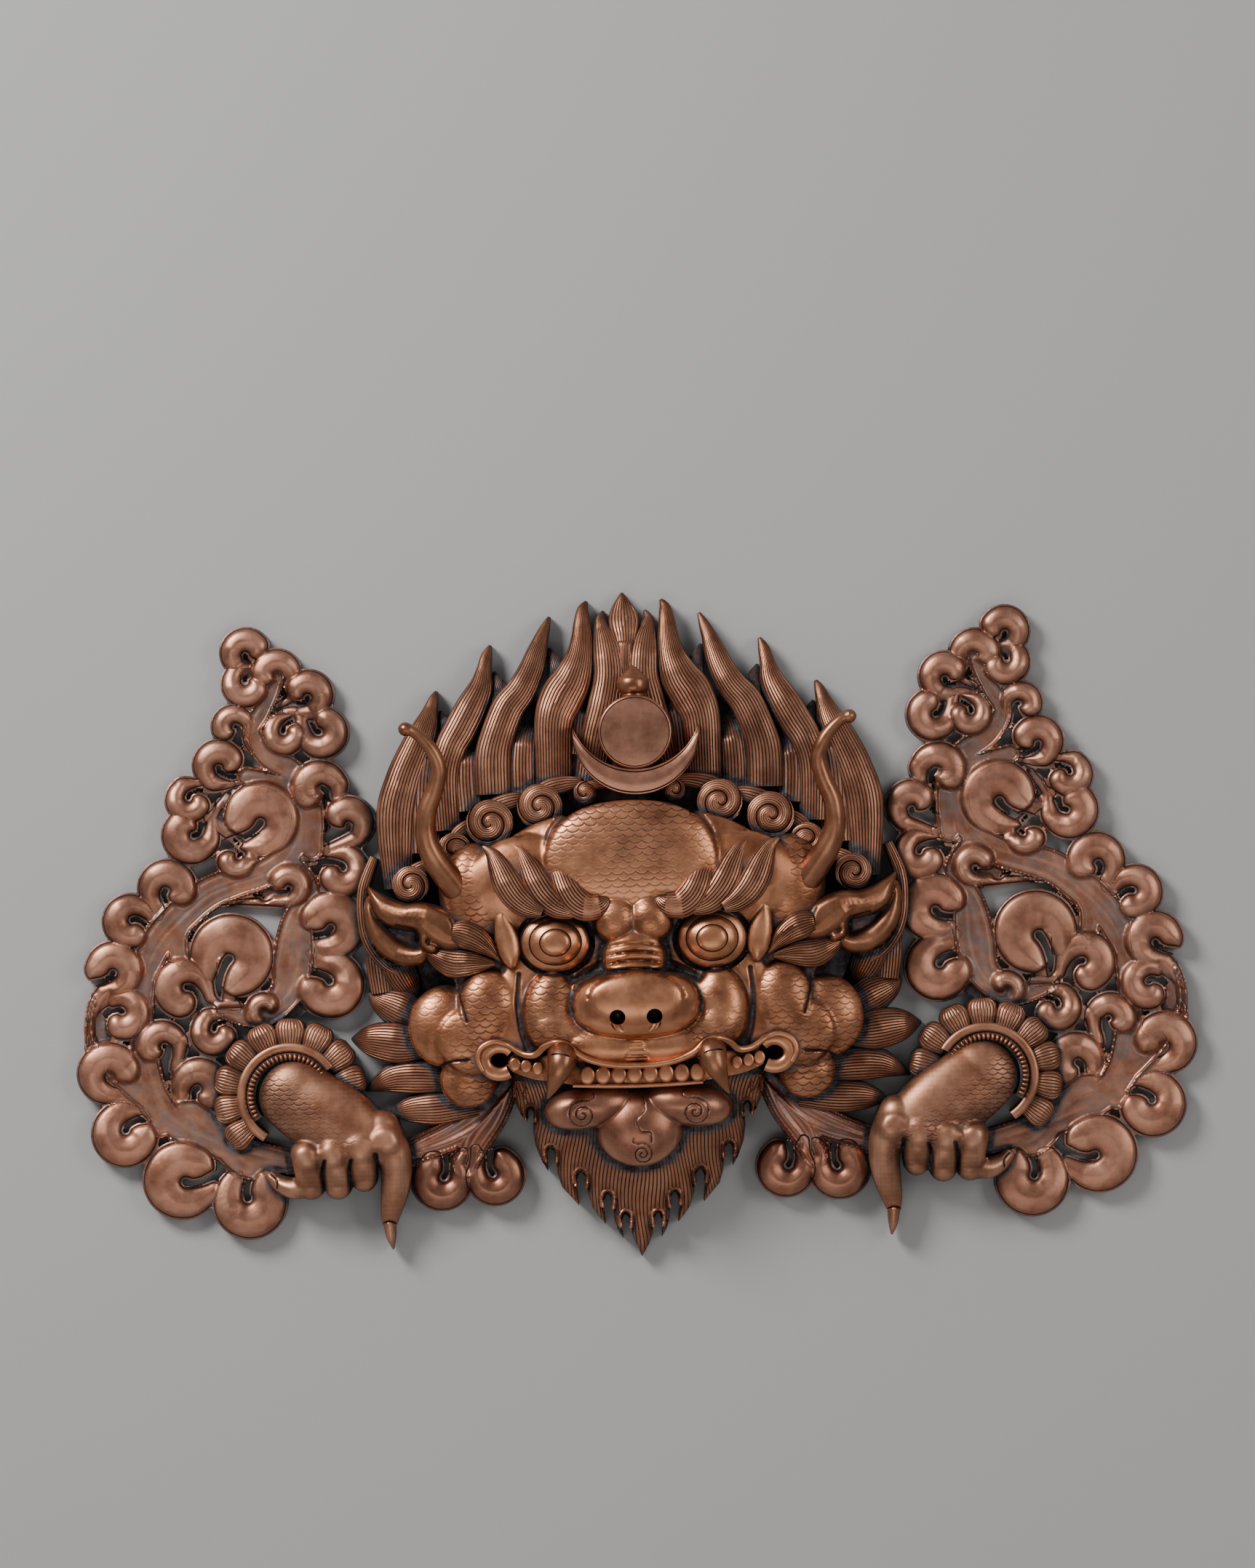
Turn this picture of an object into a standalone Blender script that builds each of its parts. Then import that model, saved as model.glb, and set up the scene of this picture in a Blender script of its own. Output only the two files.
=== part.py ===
# Kirtimukha wall mask in hammered copper sheet.
# The wall is the plane y = 0, the mask faces -Y, and the origin is the mount on the back of the hair.
import math

import bmesh
import bpy
from mathutils import Vector
from mathutils.kdtree import KDTree

# Driving dimensions, in metres
SPAN = 0.714  # overall width over both scroll panels
U = SPAN / 714  # drawing unit of the free forms, which are shares of the span
GAP = 0.0003  # solder gap left between two pieces
PLATE = 0.006  # backing plate that ties hair and mane together
HAIR_ROOT = 0.037  # how far the flame locks stand out at their roots
HAIR_MID = 0.029
HAIR_TIP = 0.010
CURL_RISE = 0.050  # front of the small curls along the hair line
LEAF_RISE = 0.026  # front of the mane leaves beside the cheeks
SKULL_RISE = 0.056  # front of the face between its mounds
HOLLOW = 0.044  # depth of the hollow behind the face
NOSE_RISE = 0.094
BROW_RISE = 0.075
JAW_RISE = 0.068
BEARD_ROOT = 0.050
BEARD_TIP = 0.012
PANEL_STEM = 0.010  # front of the vines of a scroll panel
PANEL_LOBE = 0.015  # front of its curls
VINE_RISE = 0.018
HORN_BASE = 0.0078  # radius of a horn at its base
HORN_TIP = 0.0036
CRESCENT_RISE = 0.058
DISC_RISE = 0.054
JEWEL_RISE = 0.052
CUFF_RISE = 0.026
HAND_RISE = 0.040
FANG_RISE = NOSE_RISE - 10 * U  # a fang stands out nearly as far as the nose

CUT_FIRST = 3 * GAP  # a piece is cut back by this much before its faces are made fewer,
CUT_LAST = 1.3 * GAP  # and by this much after, so that at least one gap is left everywhere
FACE_BACK = PLATE + 1.5 * GAP
BROW_BACK = BROW_RISE - 29 * U  # root of the brow locks, inside the brow mounds of the face
EAR_BACK = PLATE + 14 * U
CHIN_BACK = PLATE * 2
CROWN_BACK = CURL_RISE * 0.4  # root of the crown ornament, inside the hair
HAND_BACK = 4 * U  # a hand and its cuff stand a little off the wall, over the scroll panel
THROUGH = PLATE * 0.3  # how far a cutter reaches past the wall plane
TIP = 0.8  # half width of a drawn point
CROWN_SHIFT = 5  # the crown ornament sits a little to one side, in drawing units

# Flame locks from root to tip: x, z and half width in drawing units
LOCKS = (
    ((-24, 5, 8), (-16, 45, 8.5), (-10, 72, 9), (-11, 90, 8.8), (-15, 103, 4.5), (-12.8, 110.4, 0.8)),
    ((-47.7, 3, 9), (-47, 30, 11), (-43, 48, 13.5), (-29, 76, 10), (-26.7, 100, 6.4), (-23.8, 117, 0.8)),
    ((-85, -1, 8), (-85, 27, 11.5), (-76, 48, 12), (-59, 76, 8.7), (-53, 96, 4), (-47.6, 108, 0.8)),
    ((-118, -20, 6), (-115, 14, 8), (-106, 41, 10), (-92.4, 65, 8), (-91, 75, 4.5), (-85.6, 91, 0.8)),
    ((-150, -60, 6), (-148, -15, 11.5), (-140, 12, 9), (-128, 40, 7.5), (-126, 48, 5), (-121, 62.7, 0.8)),
)
SIDE_LOCKS = (
    ((-66, 0, 6), (-66, 20, 6), (-62.5, 40, 4), (-58.7, 50.5, 0.8)),
    ((-101, -8, 6), (-103, 8, 6), (-101, 24, 5), (-95, 37.7, 0.8)),
    ((-44, 55, 6), (-44, 68, 5), (-47, 87, 0.8)),
    ((-78, 40, 6), (-80, 55, 5), (-82, 73, 0.8)),
)
CENTRE_LOCK = ((0, 5, 8), (0, 50, 8), (0, 92, 7), (0, 106, 9.5), (0, 115, 5.5), (-1, 122, 0.8))

# Curls of the hair line: centre, radius and half width of the band, and where its tail starts
HAIR_CURLS = (
    (-56.8, -12.3, 9.3, 4.8, -36, 1),
    (-88.8, -22.6, 9.8, 5.0, -70, -7),
    (-111.3, -40.5, 6.0, 3.4, -100, -31),
    (-140, -59.7, 6.6, 3.6, -127, -50),
)

# Mane leaves from root to point
LEAVES = (
    ((-150, -104, 9), (-147, -116, 10), (-138, -134, 1)),
    ((-136, -144, 9), (-154, -137, 10), (-169, -129, 1)),
    ((-136, -162, 9), (-155, -160, 13), (-171, -158, 9), (-181, -157, 1)),
    ((-118, -184, 9), (-140, -182, 11), (-158, -184, 8.5), (-173, -190, 1)),
    ((-104, -199, 8), (-128, -201, 10), (-146, -202.5, 8), (-158.5, -206, 1)),
)

# Curls of a scroll panel: centre, radius and half width of the band, the angles of its
# free end and of the place where it leaves the circle, and the points of its stem
PANEL_CURLS = (
    (-241.5, 90.5, 9, 7.5, 34, 260, ((-239, 78),)),
    (-242, 71, 8.5, 7.5, -36, -250, ((-237, 80), (-231, 74))),
    (-222.5, 76, 9.5, 7, 165, -20, ((-213, 62), (-222, 56))),
    (-202.5, 62.5, 8.5, 8.2, 135, -95, ((-225, 55),)),
    (-194.5, 38.5, 9, 8.5, 63, -185, ((-210, 52), (-222, 52))),
    (-218.5, 38.5, 8, 7, -10, -250, ((-214, 49), (-228, 50))),
    (-250.5, 44, 8, 6.4, 195, 0, ((-241, 32), (-232, 22))),
    (-260.5, 19.5, 9.2, 7.8, 32, 255, ((-250, 12), (-222, 13))),
    (-280.5, -2, 8.2, 6.8, -35, -262, ((-262, 6), (-242, 9))),
    (-279.5, -24.5, 10.5, 7.8, 135, 350, ((-266, -14), (-256, 0))),
    (-295.5, -58, 10.8, 8.4, -5, 215, ((-300, -78), (-304, -94))),
    (-320, -78, 10.2, 7.2, -80, -330, ((-306, -84), (-309, -96))),
    (-331, -109, 10.8, 8, 170, -110, ((-345, -134), (-348, -158))),
    (-325.5, -136.5, 9.5, 7.6, -105, 125, ((-336, -128), (-345, -136))),
    (-337, -174.5, 13, 8, 20, 270, ((-326, -191), (-306, -205))),
    (-327, -213, 12.8, 8.4, -20, -275, ((-312, -203), (-298, -211))),
    (-291.5, -243.5, 15.5, 9.4, 50, 320, ((-264, -243), (-250, -237))),
    (-249, -258.5, 14.5, 9, 42, -235, ((-250, -241), (-240, -235))),
    (-234.5, -15.5, 15.5, 8.4, 185, -105, ((-252, -25), (-268, -14))),
    (-251, -38.5, 8, 6.8, 215, 350, ((-250, -29), (-260, -22))),
    (-197, 3, 10.5, 7.8, 200, 0, ((-189, -12), (-204, -32))),
    (-179.5, -19.5, 9.5, 8, 130, -70, ((-192, -36), (-210, -42))),
    (-183, -50, 9.5, 7.8, 215, 450, ((-198, -42), (-214, -40))),
    (-218, -58.5, 8, 6.6, 140, -105, ((-238, -68), (-264, -68))),
    (-191.5, -84, 13, 8.4, 150, -110, ((-210, -90), (-222, -88))),
    (-193.5, -122, 13, 8.4, 200, 465, ((-208, -101), (-216, -98))),
    (-256, -102, 16.5, 8.8, 262, 585, ((-262, -126), (-252, -138))),
    (-287, -121.5, 11.8, 7.8, 250, 20, ((-269, -131), (-250, -138))),
    (-268.5, -150, 8.6, 7, -32, -260, ((-254, -141), (-236, -138))),
    (-236.5, -137.5, 6.6, 6, 57, 275, ((-224, -141), (-216, -134))),
    (-302, -158, 9.5, 7.4, 186, 0, ((-295, -180), (-297, -200))),
    (-278.5, -185, 11.2, 8, -29, 195, ((-290, -203), (-268, -221))),
)
PANEL_VINES = (
    ((-214, -235, 7), (-262, -224, 8), (-298, -205, 9), (-314, -178, 8), (-313, -125, 6), (-303, -92, 8),
     (-284, -72, 9), (-254, -56, 9), (-222, -42, 8), (-212, -15, 8), (-222, 5, 7), (-242, 12, 6)),
    ((-219, -40, 6), (-204, -62, 6), (-214, -84, 9), (-216, -105, 10), (-218, -128, 8), (-240, -140, 6),
     (-262, -137, 4)),
    ((-204, -34, 6), (-206, -8, 6), (-211, 10, 6), (-232, 26, 6), (-240, 45, 5), (-229, 58, 5), (-224, 68, 4)),
    ((-314, -182, 10), (-330, -172, 8), (-346, -158, 4)),
    ((-306, -205, 8), (-282, -200, 6), (-268, -216, 6)),
    ((-262, -224, 8), (-254, -236, 8), (-240, -238, 7)),
    ((-267, -222, 5), (-262, -200, 5), (-258, -186, 5)),
    ((-272, -64, 7), (-288, -86, 6), (-284, -108, 5)),
)

# Beard locks from the jaw to their points
BEARD = (
    ((-66, -180, 12), (-70, -196, 9), (-70.4, -211, 1)),
    ((-56, -186, 12), (-61, -215, 9), (-60, -230, 6.5), (-57.4, -243, 1)),
    ((-42, -195, 13), (-47, -232, 10), (-44, -250, 7), (-38.8, -265.7, 1)),
    ((-28, -205, 13), (-31, -247, 10), (-28, -263, 6.5), (-22.3, -278, 1)),
    ((-14, -212, 12), (-16, -258, 10), (-14, -274, 6), (-11.6, -288, 1)),
)
BEARD_CENTRE = ((0, -212, 12), (0, -262, 11), (0, -284, 7), (0, -301, 1))

BROW = (
    ((-93, -37, 0.8), (-84, -45, 5), (-79, -55, 7.5), (-74, -66, 8.5), (-62, -75, 5)),
    ((-74.7, -36.7, 0.8), (-69.6, -42, 4.5), (-63, -53, 8), (-57, -65, 8.5), (-46, -76, 5)),
    ((-55.5, -42, 0.8), (-47.8, -48, 4.5), (-42, -60, 8), (-37.6, -71, 8.5), (-29, -79, 8), (-17, -74, 6.5)),
)

# Middle line of a horn: x, z and depth off the wall in drawing units
HORN = (
    (-111.5, -59, 50), (-118, -52.3, 56), (-124.4, -42.4, 61), (-128.8, -29.6, 64), (-127.8, -13.8, 66),
    (-122.4, 0, 68), (-119.4, 12.8, 70), (-122.2, 22.7, 72), (-128.2, 30.6, 73), (-135, 36.5, 73),
    (-142, 39, 72),
)

VINE = (
    ((-80, -178, 5), (-90, -197, 7.5), (-104, -211, 8.5), (-122, -222, 8), (-148, -231, 6.5)),
    ((-78, -190, 5), (-90, -210, 8), (-102, -224, 8), (-110, -238, 6)),
)
VINE_CURLS = (
    (-126.5, -248, 10.5, 8.2, 128, 400, ((-112, -232),)),
    (-92.5, -246.5, 10, 8, 50, -215, ((-104, -230),)),
)

EAR_LOBES = (
    ((-112, -88, 5), (-124, -80, 8), (-140, -80, 8), (-156, -76, 6.5), (-167, -60, 1)),
    ((-163, -74, 4), (-164, -88, 5), (-156, -100, 5.5), (-144, -106, 5.5), (-130, -101, 5), (-118, -92, 5)),
    ((-116, -90, 6), (-104, -93, 9), (-92, -100, 7), (-84, -109, 1)),
    ((-132, -102, 2), (-118, -108, 8.5), (-104, -111, 7), (-88, -110, 4)),
)
EAR_BOWL = (-146, -93, 17, 14)

# Fingers of a hand from knuckle to nail
FINGERS = (
    ((-214, -228, 7), (-218, -243, 7), (-229, -247, 6), (-238, -240, 1.5)),
    ((-203, -228, 8), (-201, -246, 7.5), (-194, -256, 5)),
    ((-186, -226, 8), (-185, -244, 8), (-180, -254, 5)),
    ((-169, -224, 8), (-170, -240, 8), (-172, -252, 5)),
    ((-152, -220, 7), (-153, -237, 8), (-156, -256, 7.2), (-160, -272, 5), (-158.5, -291, 1)),
)
PALM = ((-226, -186, 14), (-214, -194, 19), (-200, -206, 25), (-188, -220, 27))
KNUCKLES = ((-215, -226, 7), (-200, -226, 9), (-180, -222, 10), (-153, -216, 8))
CUFF_CENTRE = (-221, -191.5)
PETALS = 9


def new_shell(name, points, faces):
    """Make an object from points in metres and faces by index."""
    mesh = bpy.data.meshes.new(name)
    mesh.from_pydata(points, [], faces)
    shell = bpy.data.objects.new(name, mesh)
    bpy.context.scene.collection.objects.link(shell)
    return shell


def smooth_path(points, count):
    """Read count places from a smooth curve through the points."""
    last = len(points) - 1
    places = []
    for i in range(count):
        at = i * last / (count - 1)
        k = min(int(at), last - 1)
        t = at - k
        p1, p2 = points[k], points[k + 1]
        p0 = points[k - 1] if k else p1
        p3 = points[k + 2] if k + 2 <= last else p2
        place = []
        for a, b, c, d in zip(p0, p1, p2, p3):
            bend = 2 * b + (c - a) * t + (2 * a - 5 * b + 4 * c - d) * t * t + (3 * b - a - 3 * c + d) * t ** 3
            place.append(bend / 2)
        places.append(tuple(place))
    return places


def strip(places, back, rise, round_start=False, round_end=False):
    """Crowned band along places (x, z, half width), from depth back to the depths rise(t)."""
    stations = []
    total = len(places) - 1
    for i, (x, z, w) in enumerate(places):
        x0, z0 = places[max(i - 1, 0)][:2]
        x1, z1 = places[min(i + 1, total)][:2]
        along = Vector((x1 - x0, z1 - z0)).normalized()
        stations.append((x, z, w, along, rise(i / total)))
    if round_start:
        x, z, w, along, front = stations[0]
        stations.insert(0, (x - along.x * w * 0.7, z - along.y * w * 0.7, w * 0.62, along, front * 0.94))
    if round_end:
        x, z, w, along, front = stations[-1]
        stations.append((x + along.x * w * 0.7, z + along.y * w * 0.7, w * 0.62, along, front * 0.94))
    section = ((-1, 0), (-0.82, 0.68), (0, 1), (0.82, 0.68), (1, 0))
    points = []
    for x, z, w, along, front in stations:
        for side, share in section:
            depth = back + (front - back) * share
            points.append(((x - along.y * w * side) * U, -depth, (z + along.x * w * side) * U))
    n = len(section)
    faces = [tuple(range(n)), tuple(reversed(range(len(points) - n, len(points))))]
    for i in range(len(stations) - 1):
        for j in range(n):
            a, b = i * n + j, i * n + (j + 1) % n
            faces.append((b, a, a + n, b + n))
    shell = new_shell("strip", points, faces)
    face_out(shell)
    return shell


def arc_band(x, z, radius, half, start, end, stem=(), step=32):
    """Places along a circle from its free end to where it leaves, and on through its stem."""
    turns = max(3, round(abs(end - start) / step))
    places = []
    for i in range(turns + 1):
        t = i / turns
        angle = math.radians(start + (end - start) * t)
        w = half * (1.04 - 0.55 * max(0, t - 0.5))
        out = radius * (0.82 + 0.18 * min(1, 2.5 * t))
        places.append((x + out * math.cos(angle), z + out * math.sin(angle), w))
    w = places[-1][2]
    for sx, sz in stem:
        w = max(3.2, w * 0.74)
        places.append((sx, sz, w))
    return places


def dome(x, z, rx, rz, back, front, wall=0.5, tilt=0, sides=14, rings=3):
    """Mound with a flat back: a wall up to a share of its depth, then a rounded top."""
    turn = math.radians(tilt)
    base = back + (front - back) * wall
    levels = [(1.0, back)]
    for k in range(rings):
        t = math.radians(90 * k / rings)
        levels.append((math.cos(t), base + (front - base) * math.sin(t)))
    points = []
    for share, depth in levels:
        for i in range(sides):
            angle = 2 * math.pi * (i + 0.5) / sides
            px, pz = rx * share * math.cos(angle), rz * share * math.sin(angle)
            ux = x + px * math.cos(turn) - pz * math.sin(turn)
            uz = z + px * math.sin(turn) + pz * math.cos(turn)
            points.append((ux * U, -depth, uz * U))
    points.append((x * U, -front, z * U))
    top = len(points) - 1
    faces = [tuple(range(sides))]
    for k in range(len(levels) - 1):
        for i in range(sides):
            a, b = k * sides + i, k * sides + (i + 1) % sides
            faces.append((a, b, b + sides, a + sides))
    last = (len(levels) - 1) * sides
    for i in range(sides):
        faces.append((last + i, last + (i + 1) % sides, top))
    shell = new_shell("dome", points, faces)
    face_out(shell)
    return shell


def face_out(shell):
    bm = bmesh.new()
    bm.from_mesh(shell.data)
    bmesh.ops.recalc_face_normals(bm, faces=bm.faces)
    if bm.calc_volume(signed=True) < 0:
        bmesh.ops.reverse_faces(bm, faces=bm.faces)
    bm.to_mesh(shell.data)
    bm.free()


def mirrored(shell):
    """A copy of a shell on the other side of the middle plane."""
    copy = shell.copy()
    copy.data = shell.data.copy()
    bpy.context.scene.collection.objects.link(copy)
    for vertex in copy.data.vertices:
        vertex.co.x = -vertex.co.x
    copy.data.flip_normals()
    return copy


def both_sides(shells):
    return shells + [mirrored(shell) for shell in shells]


def apply_boolean(shell, others, operation):
    """Join or cut, and keep the result as the shell's own mesh."""
    group = bpy.data.collections.new("operands")
    for other in others:
        group.objects.link(other)
    change = shell.modifiers.new("shape", "BOOLEAN")
    change.operation = operation
    change.solver = "MANIFOLD"
    change.operand_type = "COLLECTION"
    change.collection = group
    keep_evaluated(shell)
    bpy.data.collections.remove(group)
    for other in others:
        bpy.data.objects.remove(other)


def keep_evaluated(shell):
    """Make the shape that the modifiers give the shell's own mesh."""
    view = bpy.context.evaluated_depsgraph_get()
    mesh = bpy.data.meshes.new_from_object(shell.evaluated_get(view))
    shell.modifiers.clear()
    shell.data = mesh


def keep_body(shell):
    """Drop the crumbs that a cut leaves beside the largest body."""
    bm = bmesh.new()
    bm.from_mesh(shell.data)
    unseen = set(bm.verts)
    bodies = []
    for first in bm.verts:
        if first not in unseen:
            continue
        unseen.remove(first)
        body = [first]
        for vertex in body:
            for edge in vertex.link_edges:
                other = edge.other_vert(vertex)
                if other in unseen:
                    unseen.remove(other)
                    body.append(other)
        bodies.append(body)
    bodies.sort(key=len)
    for body in bodies[:-1]:
        bmesh.ops.delete(bm, geom=body, context="VERTS")
    bmesh.ops.triangulate(bm, faces=bm.faces)
    bm.to_mesh(shell.data)
    bm.free()


def simplified(shell, triangles):
    """Collapse the short edges that a union leaves, down to about this many triangles."""
    fewer = shell.modifiers.new("fewer faces", "DECIMATE")
    fewer.ratio = min(1, triangles / len(shell.data.polygons))
    fewer.use_collapse_triangulate = True
    keep_evaluated(shell)


def part_touching(body):
    """Draw in the points where two stretches of one surface meet, so that they don't touch."""
    near, step = 0.000003, 0.00002
    tree = KDTree(len(body.data.vertices))
    for vertex in body.data.vertices:
        tree.insert(vertex.co, vertex.index)
    tree.balance()
    moves = []
    for vertex in body.data.vertices:
        if len(tree.find_range(vertex.co, near)) > 1:
            moves.append((vertex.index, vertex.normal * step))
    for index, move in moves:
        body.data.vertices[index].co -= move


def grown(shell, by):
    """A copy of a shell with its surface moved out, to cut room for it and its solder gap."""
    copy = shell.copy()
    copy.data = shell.data.copy()
    bpy.context.scene.collection.objects.link(copy)
    moves = [vertex.normal * by for vertex in copy.data.vertices]
    for vertex, move in zip(copy.data.vertices, moves):
        vertex.co += move
    return copy


def clear_of(body, neighbours, gap):
    """Cut a body back from its neighbours by a gap, and by less where sharp creases fold the wider cutter."""
    for neighbour in neighbours:
        for by in (gap, gap / 2):
            apply_boolean(body, [grown(neighbour, by)], "DIFFERENCE")
            keep_body(body)


def piece(name, shells, material, triangles, neighbours=()):
    """Join the shells into one named body and keep it clear of its neighbours."""
    body = shells[0]
    if len(shells) > 1:
        apply_boolean(body, shells[1:], "UNION")
    keep_body(body)
    clear_of(body, neighbours, CUT_FIRST)
    simplified(body, triangles)
    clear_of(body, neighbours, CUT_LAST)
    part_touching(body)
    body.name = name
    body.data.name = name
    body.data.materials.clear()
    body.data.materials.append(material)
    return body


def pair(name, shells, material, triangles, neighbours=()):
    """The left and the right one of a piece, each clear of the neighbours on its own side."""
    bodies = []
    for side, own in (("left", shells), ("right", [mirrored(shell) for shell in shells])):
        near = [neighbour[len(bodies)] if isinstance(neighbour, tuple) else neighbour for neighbour in neighbours]
        bodies.append(piece(f"{name}_{side}", own, material, triangles, near))
    return tuple(bodies)


def metal(name, colour, roughness):
    made = bpy.data.materials.new(name)
    made.use_nodes = True
    shader = made.node_tree.nodes["Principled BSDF"]
    shader.inputs["Base Color"].default_value = (*colour, 1)
    shader.inputs["Metallic"].default_value = 1.0
    shader.inputs["Roughness"].default_value = roughness
    return made


def falling(first, last):
    """Depth that changes evenly along a strip."""
    return lambda t: first + (last - first) * t


def lock(points, root, middle, tip, back=0.0, count=8):
    """Flame lock that stands out at its root and thins to its tip."""

    def rise(t):
        return root + (middle - root) * t * 2 if t < 0.5 else middle + (tip - middle) * (t * 2 - 1)

    return strip(smooth_path(points, count), back, rise)


def hair():
    shells = []
    for points in LOCKS:
        shells.append(lock(points, HAIR_ROOT, HAIR_MID, HAIR_TIP))
    for points in SIDE_LOCKS:
        shells.append(lock(points, HAIR_ROOT * 0.8, HAIR_MID * 0.7, HAIR_TIP, count=5))
    for x, z, radius, half, tail_x, tail_z in HAIR_CURLS:
        places = arc_band(x, z, radius, half, 10, -262, ((tail_x, tail_z),), 48)
        shells.append(strip(places, 0, falling(CURL_RISE, CURL_RISE * 0.8), round_start=True))
        shells.append(dome(x, z, radius * 0.5, radius * 0.5, 0, CURL_RISE - U, 0.9, sides=8, rings=2))
    for points in LEAVES:
        shells.append(strip(smooth_path(points, 5), 0, falling(LEAF_RISE, HAIR_TIP)))
    band = ((-158, -44, 4), (-168, -66, 4.5), (-169, -90, 5), (-162, -106, 8), (-150, -120, 9))
    shells.append(strip(smooth_path(band, 6), 0, falling(LEAF_RISE - 2 * U, LEAF_RISE - 2 * U)))
    shells.append(dome(-28, -4.6, 6, 6, 0, CURL_RISE - 4 * U, 0.8, sides=8, rings=2))
    shells = both_sides(shells)
    shells.append(lock(CENTRE_LOCK, HAIR_ROOT, HAIR_MID, HAIR_TIP))
    shells.append(dome(0, -2, 118, 52, 0, HAIR_MID + U, 0.55, sides=26, rings=2))
    plate = dome(0, -84, 150, 122, 0, PLATE, 0.999, sides=36, rings=1)
    return shells + [plate]


def face():
    temple, brow_mound = BROW_RISE - 16 * U, BROW_RISE - 12 * U
    socket, eyeball = SKULL_RISE + 5.5 * U, SKULL_RISE + 11 * U
    muzzle, lip_front, corner = NOSE_RISE - 20 * U, NOSE_RISE - 16 * U, NOSE_RISE - 28 * U
    left = [
        dome(-97, -68, 24, 33, FACE_BACK, temple, 0.5, 10),
        dome(-66, -64, 36, 31, FACE_BACK, brow_mound, 0.6),
        dome(-49, -98, 25, 21, FACE_BACK, socket, 0.8),
        dome(-49, -98, 17.3, 16, FACE_BACK, eyeball, 0.85),
        dome(-122, -150, 25, 25, FACE_BACK, SKULL_RISE - 3 * U, 0.45),
        dome(-94, -137, 21, 22, FACE_BACK, SKULL_RISE + 5 * U, 0.5),
        dome(-109, -184, 19, 18, FACE_BACK, SKULL_RISE - 6 * U, 0.45),
        dome(-93, -160, 30, 28, FACE_BACK, SKULL_RISE - 3 * U, 0.6),
        dome(-52, -143, 22, 27, FACE_BACK, muzzle, 0.6),
        dome(-30, -158, 30, 16, FACE_BACK, muzzle, 0.75, 8, sides=12),
        dome(-74, -120, 26, 16, FACE_BACK, SKULL_RISE + 2 * U, 0.6, -20, sides=12),
        dome(-9, -88, 11, 14, FACE_BACK, BROW_RISE, 0.8, -25, sides=10),
        strip(smooth_path(((-82, -72, 3), (-86, -87, 6), (-84, -99, 6), (-76, -112, 3)), 5), FACE_BACK,
              falling(socket, socket)),
        strip(arc_band(-87, -172, 9.5, 5, 20, 300, (), 56), FACE_BACK, falling(corner, corner - 4 * U)),
    ]
    lip = ((-82, -166, 4), (-71, -169, 4), (-59, -164, 4), (-50, -161, 4.5), (-36, -170, 5), (-20, -175, 5),
           (0, -177, 5))
    left.append(strip(smooth_path(lip, 9), FACE_BACK, falling(corner, lip_front)))
    gum = ((-84, -178, 6), (-58, -180, 8), (-30, -182, 7), (0, -183, 6.5))
    left.append(strip(smooth_path(gum, 5), FACE_BACK, falling(corner - 12 * U, lip_front - 12 * U)))
    pitch = 9.9
    for i in range(4):
        front = lip_front - (7 + 0.7 * i) * U
        left.append(dome(-pitch * (i + 0.5), -182.5, 4.7, 5.2, FACE_BACK, front, 0.97, sides=6, rings=1))
    for i in range(2):
        front = corner - (4 + 2 * i) * U
        left.append(dome(-66 - 9 * i, -176, 4, 5, FACE_BACK, front, 0.97, sides=6, rings=1))
    shells = both_sides(left)
    shells += [
        dome(0, -98, 120, 84, FACE_BACK, SKULL_RISE, 0.5, sides=28, rings=5),
        dome(0, -52, 53, 42, FACE_BACK, BROW_RISE - 2 * U, 0.55, sides=20, rings=4),
        dome(0, -160, 54, 19, FACE_BACK, lip_front, 0.75, sides=16),
        dome(0, -112, 15, 20, FACE_BACK, NOSE_RISE - 14 * U, 0.7, sides=12),
        dome(0, -138, 38, 20, FACE_BACK, NOSE_RISE - 6 * U, 0.75, sides=16, rings=3),
        dome(0, -135, 22, 17, FACE_BACK, NOSE_RISE, 0.85, sides=12, rings=3),
    ]
    return shells


def hollow():
    """Room behind the face, open to the wall."""
    return dome(0, -98, 98, 66, -THROUGH, HOLLOW, 0.4, sides=24, rings=4)


def brow():
    shells = []
    for points in BROW:
        shells.append(strip(smooth_path(points, 7), BROW_BACK, falling(BROW_RISE - 8 * U, BROW_RISE)))
    base = ((-76, -68, 4), (-56, -72, 6), (-38, -78, 6), (-24, -80, 5))
    shells.append(strip(smooth_path(base, 5), BROW_BACK, falling(BROW_RISE - 6 * U, BROW_RISE - 3 * U)))
    return shells


def ear():
    shells = []
    for points in EAR_LOBES:
        shells.append(strip(smooth_path(points, 7), EAR_BACK, falling(SKULL_RISE + 6 * U, SKULL_RISE - 10 * U)))
    x, z, rx, rz = EAR_BOWL
    shells.append(dome(x, z, rx, rz, EAR_BACK, SKULL_RISE - 18 * U, 0.8, sides=12, rings=2))
    return shells


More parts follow.
